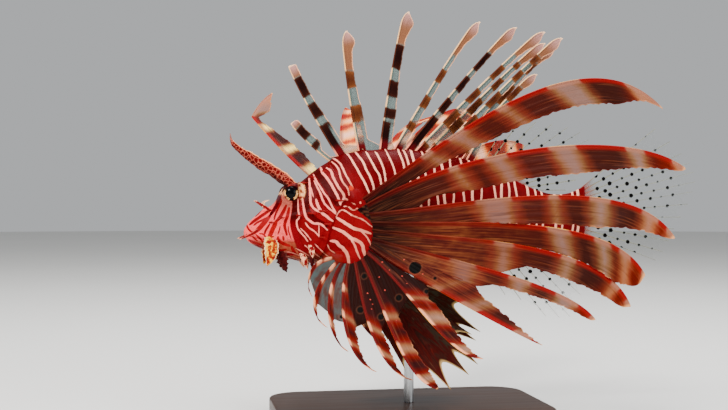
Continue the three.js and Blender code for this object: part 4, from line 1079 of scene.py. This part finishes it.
def settle(piece, name, material):
    """Gives a modelled piece its name, its one finish and smooth shading up to its edges."""
    piece.name = name
    piece.data.materials.clear()
    piece.data.materials.append(material)
    deselect()
    piece.select_set(True)
    bpy.context.view_layer.objects.active = piece
    bpy.ops.object.shade_smooth_by_angle(angle=math.radians(35))
    return piece


def build_base(material):
    """The flat wooden base: a block with rounded corners and softened edges."""
    deselect()
    bpy.ops.mesh.primitive_cube_add(size=1, location=(0, 0, BASE_THICK / 2))
    piece = bpy.context.object
    piece.scale = (BASE_LENGTH, BASE_WIDTH, BASE_THICK)
    bpy.ops.object.transform_apply(location=True, rotation=True, scale=True)
    bpy.ops.object.mode_set(mode="EDIT")
    bpy.ops.mesh.select_mode(type="EDGE")
    bpy.ops.mesh.select_all(action="DESELECT")
    shell = bmesh.from_edit_mesh(piece.data)
    for edge in shell.edges:
        a, b = edge.verts
        edge.select = abs(a.co.z - b.co.z) > BASE_THICK / 2
    bmesh.update_edit_mesh(piece.data)
    bpy.ops.mesh.bevel(offset=BASE_CORNER, segments=18, affect="EDGES")
    bpy.ops.object.mode_set(mode="OBJECT")
    soften = piece.modifiers.new("soft_edges", "BEVEL")
    soften.width = BASE_SOFT_EDGE
    soften.segments = 4
    soften.limit_method = "ANGLE"
    soften.angle_limit = math.radians(40)
    bpy.ops.object.modifier_apply(modifier=soften.name)
    return settle(piece, "display_base", material)


def build_rod(material, low, high):
    """The steel rod, softened at its upper rim."""
    deselect()
    bpy.ops.mesh.primitive_cylinder_add(vertices=40, radius=ROD_RADIUS, depth=high - low,
                                        location=(0, 0, (low + high) / 2))
    piece = bpy.context.object
    bpy.ops.object.transform_apply(location=True, rotation=True, scale=True)
    bpy.ops.object.mode_set(mode="EDIT")
    shell = bmesh.from_edit_mesh(piece.data)
    for face in shell.faces:
        face.select = face.normal.z > 0.5
    bmesh.update_edit_mesh(piece.data)
    bpy.ops.mesh.inset(thickness=0.0005)
    bpy.ops.mesh.bevel(offset=0.0003, segments=2)
    bpy.ops.object.mode_set(mode="OBJECT")
    return settle(piece, "display_rod", material)


def colour(code):
    """A linear colour from a six-digit screen colour."""
    channels = [int(code[k:k + 2], 16) / 255 for k in (0, 2, 4)]
    return (*[c / 12.92 if c <= 0.04045 else ((c + 0.055) / 1.055) ** 2.4 for c in channels], 1)


def connect(tree, value, socket):
    """Links a socket to a value, or sets it to a constant or a screen colour."""
    if isinstance(value, Value):
        tree.links.new(value.socket, socket)
    else:
        socket.default_value = colour(value) if isinstance(value, str) else value


def node(tree, kind, inputs=None, output=0, **settings):
    """Adds a shader node and returns one of its outputs."""
    made = tree.nodes.new(kind)
    for key, value in settings.items():
        setattr(made, key, value)
    for key, value in (inputs or {}).items():
        connect(tree, value, made.inputs[key])
    return Value(tree, made.outputs[output])


def sums(tree, operation, *terms):
    return node(tree, "ShaderNodeMath", dict(enumerate(terms)), operation=operation)


def noise(tree, vector, scale, detail=3.0, roughness=0.5, warp=0.0):
    inputs = {"Vector": vector, "Scale": scale, "Detail": detail, "Roughness": roughness, "Distortion": warp}
    return node(tree, "ShaderNodeTexNoise", inputs, "Fac")


def surface_place(tree):
    return node(tree, "ShaderNodeTexCoord", output="Object")


class Value:
    """An output of a shader node, with the sums, masks and blends that the finishes are written in."""

    def __init__(self, tree, socket):
        self.tree = tree
        self.socket = socket

    def __add__(self, other):
        return sums(self.tree, "ADD", self, other)

    def __sub__(self, other):
        return sums(self.tree, "SUBTRACT", self, other)

    def __rsub__(self, other):
        return sums(self.tree, "SUBTRACT", other, self)

    def __mul__(self, other):
        return sums(self.tree, "MULTIPLY", self, other)

    def __truediv__(self, other):
        return sums(self.tree, "DIVIDE", self, other)

    def __abs__(self):
        return sums(self.tree, "ABSOLUTE", self)

    def larger(self, other):
        return sums(self.tree, "MAXIMUM", self, other)

    def step(self, low, high, to_low=0.0, to_high=1.0, kind="SMOOTHSTEP"):
        """Goes from to_low at low to to_high at high, and stays level outside them."""
        inputs = dict(enumerate((self, low, high, to_low, to_high)))
        return node(self.tree, "ShaderNodeMapRange", inputs, interpolation_type=kind)

    def mix(self, a, b):
        """Blends two colours, with this value as the share of the second."""
        return node(self.tree, "ShaderNodeMix", {0: self, 6: a, 7: b}, 2, data_type="RGBA")

    def ramp(self, low, high, stops):
        """Colours along this value, from (value, screen colour) pairs between low and high."""
        made = node(self.tree, "ShaderNodeValToRGB", {"Fac": self.step(low, high, kind="LINEAR")}, "Color")
        elements = made.socket.node.color_ramp.elements
        while len(elements) < len(stops):
            elements.new(0.5)
        for element, (at, code) in zip(elements, stops):
            element.position = (at - low) / (high - low)
            element.color = colour(code)
        return made

    def mark(self, softness, waver):
        """The mask of a mark, with this value as the signed distance to its edge in millimetres."""
        inputs = {"Distance": self, "Softness": softness, "Waver": waver}
        return node(self.tree, "ShaderNodeGroup", inputs, node_tree=MARK)


class Finish:
    """A material with one Principled shader, whose colour comes from the point values of its pieces."""

    def __init__(self, name, roughness, glint=0.03, **constants):
        self.material = bpy.data.materials.new(name)
        self.material.use_nodes = True
        self.tree = self.material.node_tree
        self.shader = self.tree.nodes["Principled BSDF"]
        self.set(Roughness=roughness, Specular_IOR_Level=glint, **constants)

    def set(self, **inputs):
        for key, value in inputs.items():
            connect(self.tree, value, self.shader.inputs[key.replace("_", " ")])

    def value(self, name):
        return node(self.tree, "ShaderNodeAttribute", output="Fac", attribute_name=name)

    def values(self, *names):
        return [self.value(name) for name in names]

    def mottle(self, scale, low=0.0, high=1.0):
        return node(self.tree, "ShaderNodeGroup", {"Scale": scale, "Low": low, "High": high}, node_tree=MOTTLE)

    def grain(self, along, across, ray, stretch, fineness):
        """Fine streaks along a fin's ray, and the broader clouds between them."""
        inputs = {"Along": along, "Across": across, "Ray": ray, "Stretch": stretch, "Fineness": fineness}
        streak = node(self.tree, "ShaderNodeGroup", inputs, "Streak", node_tree=GRAIN)
        return streak, Value(self.tree, streak.socket.node.outputs["Cloud"])

    def cells(self, scale, feature):
        inputs = {"Vector": surface_place(self.tree), "Scale": scale}
        return node(self.tree, "ShaderNodeTexVoronoi", inputs, "Distance", feature=feature)

    def stretched_place(self, scale):
        return node(self.tree, "ShaderNodeMapping", {"Vector": surface_place(self.tree), "Scale": scale})

    def bump(self, height, strength, distance):
        inputs = {"Strength": strength, "Distance": distance, "Height": height}
        self.set(Normal=node(self.tree, "ShaderNodeBump", inputs, "Normal"))


def effect(name, inputs, outputs):
    """A node group of plain numbers: the group, its inputs as values, and its output node."""
    group = bpy.data.node_groups.new(name, "ShaderNodeTree")
    for label, default in inputs.items():
        socket = group.interface.new_socket(label, in_out="INPUT", socket_type="NodeSocketFloat")
        socket.default_value = default
    for label in outputs:
        group.interface.new_socket(label, in_out="OUTPUT", socket_type="NodeSocketFloat")
    start = group.nodes.new("NodeGroupInput")
    end = group.nodes.new("NodeGroupOutput")
    return group, [Value(group, start.outputs[label]) for label in inputs], end


def mark_edge_effect():
    """Turns a signed distance in millimetres into a soft-edged mask, 1 inside the mark."""
    group, (distance, softness, waver), end = effect(
        "mark_edge", {"Distance": 1.0, "Softness": 0.2, "Waver": 0.0}, ["Mask"])
    shake = (noise(group, surface_place(group), 900.0, 2.0) - 0.5) * waver
    mask = ((distance + shake) / softness).step(-1.0, 1.0, 1.0, 0.0)
    connect(group, mask, end.inputs["Mask"])
    return group


def mottle_effect():
    """A soft blotchy change over the surface at a given size."""
    group, (scale, low, high), end = effect("mottle", {"Scale": 60.0, "Low": 0.0, "High": 1.0}, ["Value"])
    value = noise(group, surface_place(group), scale, 4.0, 0.55)
    connect(group, value.step(0.3, 0.7, low, high, "LINEAR"), end.inputs["Value"])
    return group


def grain_effect():
    """Fine streaks along a fin's ray, from places along and across it in millimetres."""
    group, (along, across, ray, stretch, fineness), end = effect(
        "ray_grain", {"Along": 0.0, "Across": 0.0, "Ray": 0.0, "Stretch": 0.06, "Fineness": 1.0},
        ["Streak", "Cloud"])
    fine = node(group, "ShaderNodeCombineXYZ", {0: along * stretch, 1: across * fineness, 2: ray * 7.31})
    broad = node(group, "ShaderNodeCombineXYZ", {0: along * 0.12, 1: across * 0.16, 2: ray * 3.7})
    connect(group, noise(group, fine, 1.0, 3.0, 0.65), end.inputs["Streak"])
    connect(group, noise(group, broad, 1.0, 2.0, 0.5, 0.4), end.inputs["Cloud"])
    return group


def skin_finish():
    """Dark red skin with white lines, and a pale face with thin red lines."""
    look = Finish("striped_skin", 0.42)
    white, dark, depth, red, red_depth = look.values("white", "dark", "depth", "red", "face_depth")
    face, throat, nape = look.values("face", "throat", "nape")
    base = look.mottle(55.0).mix("71050D", "4D0105")
    base = (nape * 0.75).mix(base, "460003")
    base = (look.value("glow") * 0.45).mix(base, "8F000C")
    under = throat.step(0.2, 1.0, 0.0, 0.7)
    base = under.mix(base, "631F16")
    # The pale face with its thin red lines.
    blush = look.mottle(190.0)
    pale = blush.mix("FF5653", "E64F50")
    jaw = blush.mix("A4482E", "74301F")
    pale = look.value("jaw").mix(pale, jaw)
    shade = look.value("socket").step(8.0, 19.0, 0.85, 0.0)
    pale = shade.mix(pale, "904D3D")
    line = red.mark(0.2, 0.3)
    line_red = red_depth.mix("940009", "370007")
    pale = line.mix(pale, line_red)
    band = dark.mark(0.35, 0.5)
    banded = band * depth
    face_mask = (face * -1.0).mark(0.4, 0.6)
    base = face_mask.mix(base, pale)
    base = band.mix(base, "74000C")
    base = banded.mix(base, "3D0001")
    # White lines with a dark border.
    border = (white - 0.5).mark(0.4, 0.2)
    ahead = look.value("length").step(66, 76, 0.6, 0.3)
    base = (border * ahead).mix(base, "380408")
    stripe = white.mark(0.2, 0.25)
    rear = look.value("length").step(52, 90)
    stripe_colour = rear.mix("FF8575", "FFAA8C")
    stripe_colour = look.value("lobe").mix(stripe_colour, "D67A63")
    stripe_colour = (throat * 0.9).mix(stripe_colour, "663A28")
    base = stripe.mix(base, stripe_colour)
    warm = look.value("warm").mark(0.7, 1.2)
    base = warm.mix(base, "B62207")
    # The folded roots of the upper fin rays: nearly black, with olive streaks.
    folded = look.value("folded").mark(0.5, 0.8)
    pleats = look.value("pleat").mix("110303", "4F2B1B")
    base = folded.mix(base, pleats)
    # Cream patches before and behind the eye.
    patch = look.value("cream").mark(0.9, 1.6)
    cream = look.mottle(480.0).ramp(0, 1, [
        (0.2, "FFBF84"), (0.55, "FFB171"), (0.75, "AC4F2D"), (1.0, "641312")
    ])
    base = patch.mix(base, cream)
    rim = look.value("socket").step(5.4, 8.4, 0.9, 0.0)
    base = (rim * look.value("brow")).mix(base, "2C0307")
    look.set(Base_Color=base)
    look.set(Roughness=look.mottle(240.0, 0.36, 0.5))
    look.bump(look.cells(620.0, "F1"), 0.16, 0.0004)
    return look.material


def fin_finish():
    """Soft bands of red-brown and lilac, streaked along the rays, with a bright red leading edge, a painted
    highlight along each ray's leading rim, and painted sunlight on the outer parts of the far fin's upper rays.
    """
    look = Finish("banded_fin", 0.45)
    along, across, share, painted_sun = look.values("along", "across", "share", "painted_sun")
    ray, rim, band, spot = look.values("ray", "rim", "band", "spot")
    streak, cloud = look.grain(along, across, ray, 0.03, 0.9)
    fray = (streak - 0.5) * 6.0
    drift = (cloud - 0.5) * 5.0
    edge = band + fray + drift
    tipward = share.step(0.45, 0.8)
    lower = ray.step(6.4, 6.6)
    middle = edge.ramp(-8, 8, [
        (-7, "755148"), (-4.5, "764C3B"), (-2, "6D3D20"), (0, "612919"), (2, "5D1C10"), (4.5, "4D140B"),
        (7, "3A0E08")
    ])
    outer = edge.ramp(-8, 8, [
        (-7, "76584E"), (-4.5, "73503B"), (-2, "66452A"), (0, "59321D"), (2, "4F2113"), (4.5, "3E190F"),
        (7, "2D0F0A")
    ])
    body = tipward.mix(middle, outer)
    flame = edge.ramp(-8, 8, [(-7, "985C3D"), (-3, "8E4927"), (0, "782A16"), (4, "5F0A00")])
    body = share.step(0.8, 0.93, 0.0, 0.8).mix(body, flame)
    stout = (band + drift * 0.6).ramp(-8, 8, [
        (-6, "8B6452"), (-2.5, "7E5034"), (-1, "6F351E"), (0, "671912"), (1.5, "610601"), (4, "480300"),
        (7, "290505")
    ])
    body = lower.mix(body, stout)
    # Painted sunlight: on the far fin's upper rays the outer parts are painted paler and brighter, as if lit by
    # the sun.
    bright = edge.ramp(-8, 8, [
        (-7, "FFB898"), (-3, "FFA45F"), (-1, "EE7D30"), (0.5, "BD481F"), (4, "872617")
    ])
    body = (painted_sun * 0.85).mix(body, bright)
    leaf = (band + drift * 0.5).ramp(-8, 8, [
        (-5, "F1CF77"), (-1.5, "957141"), (0, "63361B"), (2, "350400"), (6, "240504")
    ])
    leaf = streak.step(0.5, 0.66, 0.0, 0.6).mix(leaf, "2E0F09")
    body = look.value("olive").mix(body, leaf)
    # The inner part of the middle rays is brown, with tan streaks.
    inner = share.step(0.6, 0.3, 0.0, 0.65) * ray.step(1.4, 2.6)
    inner = inner * ray.step(6.6, 6.4)
    inner = inner * (1.0 - painted_sun)
    tan = (streak + cloud * 0.6).ramp(0.4, 1.2, [
        (0.55, "7D4622"), (0.72, "612C17"), (0.88, "46140D"), (1.05, "250706")
    ])
    body = inner.mix(body, tan)
    # Near the root the pleats are almost black, with olive streaks.
    pleat = streak.step(0.5, 0.68).mix("090202", "422314")
    root = share.step(0.06, 0.3, 0.95, 0.0)
    root = root * (1.0 - lower * 0.8)
    root = root * (1.0 - painted_sun)
    body = root.mix(body, pleat)
    # Fine lengthwise streaks.
    dim = streak.step(0.52, 0.72, 0.0, 0.35)
    body = dim.mix(body, "220605")
    lift = streak.step(0.48, 0.3, 0.0, 0.34)
    body = lift.mix(body, "783D24")
    # The leading edge: bright red in the dark bands, pink-white in the pale ones.
    ray_band = (band + drift).step(-1.5, 1.0)
    lead_pale = lower.mix("945E4B", "FFA479")
    lead_red = lower.mix("83070B", "5D1312")
    lead_colour = ray_band.mix(lead_pale, lead_red)
    reach = lower.step(0.0, 1.0, 2.6, 0.6) + streak * 2.6
    lead = across.step(reach, 0.5)
    lead = lead * (0.85 - root * 0.7)
    lead = lead * (1.0 - inner)
    body = lead.mix(body, lead_colour)
    # A painted highlight: a thin bright line, orange in the pale bands and red in the dark ones, along the
    # leading rim of each ray from about a third of its length outwards.
    painted_highlight = across.step(-0.35, -0.62)
    painted_highlight_colour = ray_band.mix("FFB11B", "BF3707")
    body = (painted_highlight * share.step(0.3, 0.6)).mix(body, painted_highlight_colour)
    # Webs between the lower rays: dark maroon behind, glassy grey in front.
    deep = streak.mix("070100", "260501")
    glass = cloud.step(0.35, 0.75).mix("414A49", "432B26")
    film = ray.step(10.4, 10.6).mix(deep, glass)
    web = look.value("web")
    body = web.mix(body, film)
    # The trailing rim and the tip are pale.
    trail = rim.step(0.8, 0.15, 0.0, 0.7)
    trail = trail * share.step(0.4, 0.6)
    body = trail.mix(body, ray_band.mix("BD7A51", "651F15"))
    body = share.step(0.98, 1.0, 0.0, 0.7).mix(body, "FFB271")
    # Eye spots: black in a pale ring, and small pale dots.
    ring = (spot - 0.9).mark(0.4, 0.8)
    body = (ring * 0.14).mix(body, "7D4B35")
    pupil = spot.mark(0.35, 0.6)
    body = pupil.mix(body, "030201")
    dots = look.value("dot").mark(0.3, 0.5)
    body = dots.mix(body, "BF4237")
    look.set(Base_Color=body)
    look.set(Roughness=streak.step(0.3, 0.7, 0.4, 0.6, "LINEAR"))
    look.bump(streak, 0.5, 0.0005)
    return look.material


def spine_finish():
    """Blocks of maroon and clear grey along each spine, ending in a lilac leaf with a white rim."""
    look = Finish("banded_spines", 0.42)
    along, across, share = look.values("along", "across", "share")
    band, tone, leaf, root, rim = look.values("band", "tone", "leaf", "root", "rim")
    streak, cloud = look.grain(along, across, tone, 0.06, 1.3)
    edge = band + (cloud - 0.5) * 3.0
    dark = edge.step(-0.7, 0.7)
    maroon = edge.ramp(-1, 6, [(0, "38160D"), (2, "260C07"), (6, "1A0605")])
    brown = edge.ramp(-1, 6, [(0, "75411F"), (2, "592D16"), (6, "441C0E")])
    dark_colour = tone.mix(maroon, brown)
    dark_colour = streak.step(0.5, 0.7, 0.0, 0.4).mix(dark_colour, "130504")
    grey = streak.step(0.3, 0.7).mix("4C5C57", "627670")
    leaf_pale = share.step(0.8, 0.96).mix("7E5037", "B18078")
    leaf_pale = streak.step(0.5, 0.7, 0.0, 0.4).mix(leaf_pale, "50362F")
    pale = leaf.step(-1.0, 2.0).mix(grey, leaf_pale)
    body = dark.mix(pale, dark_colour)
    low = root.step(3.0, 9.0, 1.0, 0.0) * across.step(5.4, 4.2)
    veil = across.step(4.2, 5.4) * root.step(22.0, 14.0)
    body = veil.mix(body, grey)
    dark = dark * (1.0 - veil)
    body = low.mix(body, "58080E")
    lead = across.step(0.2, -0.3)
    lead_colour = dark.mix("FFC688", "502415")
    lead_colour = low.mix(lead_colour, "FF9877")
    body = (lead * 0.9).mix(body, lead_colour)
    trail = rim.step(0.75, 0.35, 0.0, 0.8)
    trail_colour = dark.mix("FFB78B", "64402F")
    trail_colour = low.mix(trail_colour, "FF9877")
    body = trail.mix(body, trail_colour)
    body = share.step(0.955, 0.99).mix(body, "FFCC9F")
    look.set(Base_Color=body)
    clear = (1.0 - dark) * leaf.step(-1.0, 1.0, 0.5, 0.0)
    clear = clear * across.step(0.8, 1.4)
    clear = clear * (1.0 - low)
    clear = clear.larger(veil * 0.6)
    clear = clear * (1.0 - trail)
    look.set(Alpha=1.0 - clear)
    look.bump(streak, 0.4, 0.0004)
    return look.material


def dark_web_finish():
    """Pelvic fins: nearly black red-brown webs with grey-green clouds, red rays and cream points."""
    look = Finish("dark_web", 0.45)
    along, gap, share, wide = look.values("along", "gap", "share", "spread")
    streak, cloud = look.grain(along, gap, wide, 0.06, 1.0)
    web = (streak + cloud * 0.5).ramp(0.4, 1.1, [(0.45, "591811"), (0.7, "3F0C09"), (0.95, "260605")])
    rear = wide.step(0.55, 0.9)
    patch = cloud.step(0.46, 0.6) * wide.step(0.4, 0.9, 0.1, 0.7)
    web = (rear * 0.6).mix(web, "2E1A10")
    web = patch.mix(web, "373528")
    on_ray = gap.step(1.0, 0.4)
    ray = cloud.ramp(0.3, 0.7, [(0.35, "5A1B13"), (0.5, "400F0B"), (0.65, "764D38")])
    web = (on_ray * 0.8).mix(web, ray)
    web = share.step(0.965, 0.995).mix(web, "B8955F")
    look.set(Base_Color=web)
    look.bump(streak, 0.4, 0.0004)
    return look.material


def clear_web_finish():
    """An almost clear web with pale rays, crossed by rows of black spots."""
    look = Finish("clear_web", 0.5, 0.0)
    gap, share, spot = look.values("gap", "share", "spot")
    on_ray = gap.step(0.5, 0.26)
    flush = share.step(0.22, 0.02)
    body = on_ray.mix("79847E", "838162")
    body = flush.mix(body, "8E3F32")
    mark = spot.mark(0.22, 0.5)
    body = mark.mix(body, "060404")
    look.set(Base_Color=body)
    seen = (on_ray * share.step(0.3, 1.0, 0.9, 0.5)).larger(0.03)
    seen = seen.larger(flush * 0.6)
    seen = seen.larger(mark * 0.98)
    look.set(Alpha=seen)
    return look.material


def eye_finish():
    """A black pupil in a dark iris that is cream before and behind it."""
    look = Finish("eyeball", 0.12, 0.07)
    arc, forward, height = look.values("arc", "forward", "height")
    iris = look.mottle(620.0).ramp(0, 1, [(0.2, "FFC676"), (0.5, "E0A05F"), (0.8, "632A1C")])
    # Cream in front of, behind and at the lower corners of the pupil; dark above and right below it.
    level = (height + 0.8) / (abs(forward) + 0.2)
    sector = level.step(0.3, 0.9).larger(level.step(-1.6, -2.4))
    iris = sector.mix(iris, "130305")
    body = arc.step(5.5, 6.3).mix(iris, "2D0909")
    pupil = arc.step(4.05, 3.8)
    body = pupil.mix(body, (0.001, 0.001, 0.0015, 1))
    look.set(Base_Color=body)
    return look.material


def flap_finish():
    """Flaps and small spines, told apart by tone: pale spur, leaf, dark frill, red and white, cirrus, spine."""
    look = Finish("face_flap", 0.45)
    tone, share, side = look.values("tone", "share", "side")
    blotch = look.mottle(360.0)
    fine = look.mottle(700.0)
    rim = abs(side).step(0.74, 0.93)
    leaf = blotch.ramp(0, 1, [(0.15, "FFCB3E"), (0.36, "DD9004"), (0.5, "B03D00"), (0.68, "830E0E")])
    leaf = rim.mix(leaf, "FFCF98")
    frill = blotch.mix("1D0406", "511010")
    frill = (rim * 0.35).mix(frill, "6D3E35")
    streaked = blotch.step(0.42, 0.58).mix("75060E", "FFAC84")
    streaked = rim.mix(streaked, "FFB287")
    cirrus = fine.mix("87040D", "610910")
    cirrus = abs(side).step(0.75, 0.95).mix(cirrus, "D86651")
    cirrus = share.step(0.86, 0.98).mix(cirrus, "FFA677")
    thorn = share.mix("6E080F", "861718")
    result = "FFC698"
    for limit, shade in ((1.5, leaf), (2.5, frill), (3.5, streaked), (4.5, cirrus), (5.5, thorn)):
        result = tone.step(limit - 0.1, limit + 0.1).mix(result, shade)
    look.set(Base_Color=result)
    look.bump(fine, 0.2, 0.0003)
    return look.material


def tentacle_finish():
    """Dark red with a cream net, a white upper rim and an almost black under side near the eye."""
    look = Finish("mottled_tentacle", 0.45)
    tone, share, side = look.values("tone", "share", "side")
    cells = look.cells(420.0, "DISTANCE_TO_EDGE")
    net = cells.step(0.1, 0.03)
    flecks = look.mottle(260.0)
    red = flecks.mix("750D11", "3E0100")
    body = (net * 0.6).mix(red, "DB6D53")
    low = side.step(0.2, 0.75)
    low = low * share.step(0.1, 0.5, 0.9, 0.3)
    body = low.mix(body, "1B0406")
    top = side.step(-0.72, -0.93)
    body = (top * 0.9).mix(body, "FFA364")
    body = share.step(0.82, 1.0, 0.0, 0.7).mix(body, "997067")
    body = tone.step(0.4, 0.6).mix(body, "FFC698")
    look.set(Base_Color=body)
    look.bump(cells, 0.3, 0.0005)
    return look.material


def wood_finish():
    """Dark stained wood with long grain, under a thin coat of varnish."""
    look = Finish("stained_wood", 0.42, Coat_Weight=0.3, Coat_Roughness=0.3)
    stretched = look.stretched_place((3.0, 60.0, 60.0))
    grain = noise(look.tree, stretched, 3.0, 8.0, 0.65, 0.6)
    waves = {"Vector": stretched, "Scale": 0.6, "Distortion": 5.0, "Detail": 3.0}
    rings = node(look.tree, "ShaderNodeTexWave", waves, "Fac", bands_direction="Y")
    body = grain.mix("1E130D", "4A2E1E")
    body = (rings * 0.4).mix(body, "241610")
    look.set(Base_Color=body)
    look.set(Roughness=grain.step(0.3, 0.7, 0.34, 0.5, "LINEAR"))
    look.bump(grain, 0.15, 0.0004)
    return look.material


def steel_finish():
    """Steel brushed along the rod."""
    look = Finish("satin_steel", 0.28, Metallic=1.0)
    lines = noise(look.tree, look.stretched_place((300.0, 300.0, 6.0)), 2.0, 3.0, 0.6)
    look.set(Base_Color=lines.mix("9A9C9E", "C8CACC"))
    look.set(Roughness=lines.step(0.3, 0.7, 0.2, 0.38, "LINEAR"))
    return look.material


def floor_finish():
    """The pale floor of the studio."""
    look = Finish("pale_floor", 0.7)
    cloud = noise(look.tree, surface_place(look.tree), 2.0)
    look.set(Base_Color=cloud.mix("D9D8D5", "DEDDDA"))
    return look.material


MARK = mark_edge_effect()
MOTTLE = mottle_effect()
GRAIN = grain_effect()
SKIN, FIN, SPINES = skin_finish(), fin_finish(), spine_finish()
DARK_WEB, CLEAR_WEB = dark_web_finish(), clear_web_finish()
EYES, FLAPS, TENTACLES = eye_finish(), flap_finish(), tentacle_finish()
WOOD, STEEL = wood_finish(), steel_finish()


def stand_for(piece, slot, *nodes):
    """Fixes a piece to the body and names the solids it replaces, which it hides; the slot is not used."""
    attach(piece, "root")
    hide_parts(*nodes)


stand_for(build_skin(SKIN), "skin", "head", "lower_jaw", "torso", "tail")
stand_for(build_spines(SPINES), "spine_fin", "dorsal_spines")
soft_dorsal = edge_fin("soft_dorsal_fin_clear", SOFT_DORSAL, math.pi / 2, CLEAR_WEB, 2, 0.08)
stand_for(soft_dorsal, "clear_fin", "soft_dorsal_fin")
stand_for(edge_fin("anal_fin_clear", ANAL, -math.pi / 2, CLEAR_WEB, -2, 0.12), "clear_fin", "anal_fin")
stand_for(caudal_fin(CLEAR_WEB), "clear_fin", "caudal_fin")
for side, label in SIDE_NAMES.items():
    stand_for(build_eye(side, EYES), "eye", f"eye_{label}")
    stand_for(brow_tentacle(side, TENTACLES), "skin", f"brow_tentacle_{label}")
    stand_for(pelvic_fin(side, DARK_WEB), "dark_fin", f"pelvic_fin_{label}")
    flaps = face_trim(side, FLAPS)
    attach(flaps, "root")
for side, part, first, end in (
    (LEFT, "upper", 0, UPPER_RAYS),
    (LEFT, "lower", UPPER_RAYS, PECTORAL_RAYS),
    (RIGHT, "front", 0, FRONT_RAYS),
    (RIGHT, "upper", FRONT_RAYS, UPPER_RAYS),
    (RIGHT, "lower", UPPER_RAYS, PECTORAL_RAYS),
):
    label = SIDE_NAMES[side]
    fin = build_fin(f"pectoral_{label}_{part}_banded", side, first, end, FIN)
    stand_for(fin, "banded_fin", f"pectoral_fin_{label}_{part}")

stand_for(build_base(WOOD), "base_wood", "stand_base")
rod_low, rod_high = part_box("stand_rod")
stand_for(build_rod(STEEL, rod_low.z, rod_high.z), "rod_steel", "stand_rod")

deselect()
bpy.ops.mesh.primitive_circle_add(vertices=96, radius=FLOOR_RADIUS, fill_type="NGON", location=(0, 0, FLOOR_Z))
floor = bpy.context.object
floor.name = "studio_floor"
bpy.ops.object.transform_apply(location=True, rotation=True, scale=True)
floor.data.materials.append(floor_finish())

world = bpy.data.worlds.new("studio")
bpy.context.scene.world = world
world.use_nodes = True
world.node_tree.nodes["Background"].inputs["Color"].default_value = (0.80, 0.82, 0.84, 1)
world.node_tree.nodes["Background"].inputs["Strength"].default_value = 0.6


def aim(name, data, place_at, towards):
    """Puts a light or camera at a place and turns it towards another."""
    holder = bpy.data.objects.new(name, data)
    holder.location = place_at
    holder.rotation_euler = (Vector(towards) - Vector(place_at)).to_track_quat("-Z", "Y").to_euler()
    bpy.context.scene.collection.objects.link(holder)
    return holder


for name, place_at, size, power, tint in LIGHTS:
    lamp = bpy.data.lights.new(name, "AREA")
    lamp.shape = "DISK"
    lamp.size = size
    lamp.energy = power
    lamp.color = tint
    aim(name, lamp, place_at, LIT_PLACE)

view = bpy.data.cameras.new("photo_view")
view.lens = CAMERA_LENS
view.sensor_width = CAMERA_SENSOR
view.clip_start = 0.01
bpy.context.scene.camera = aim("photo_view", view, CAMERA_PLACE, CAMERA_TARGET)
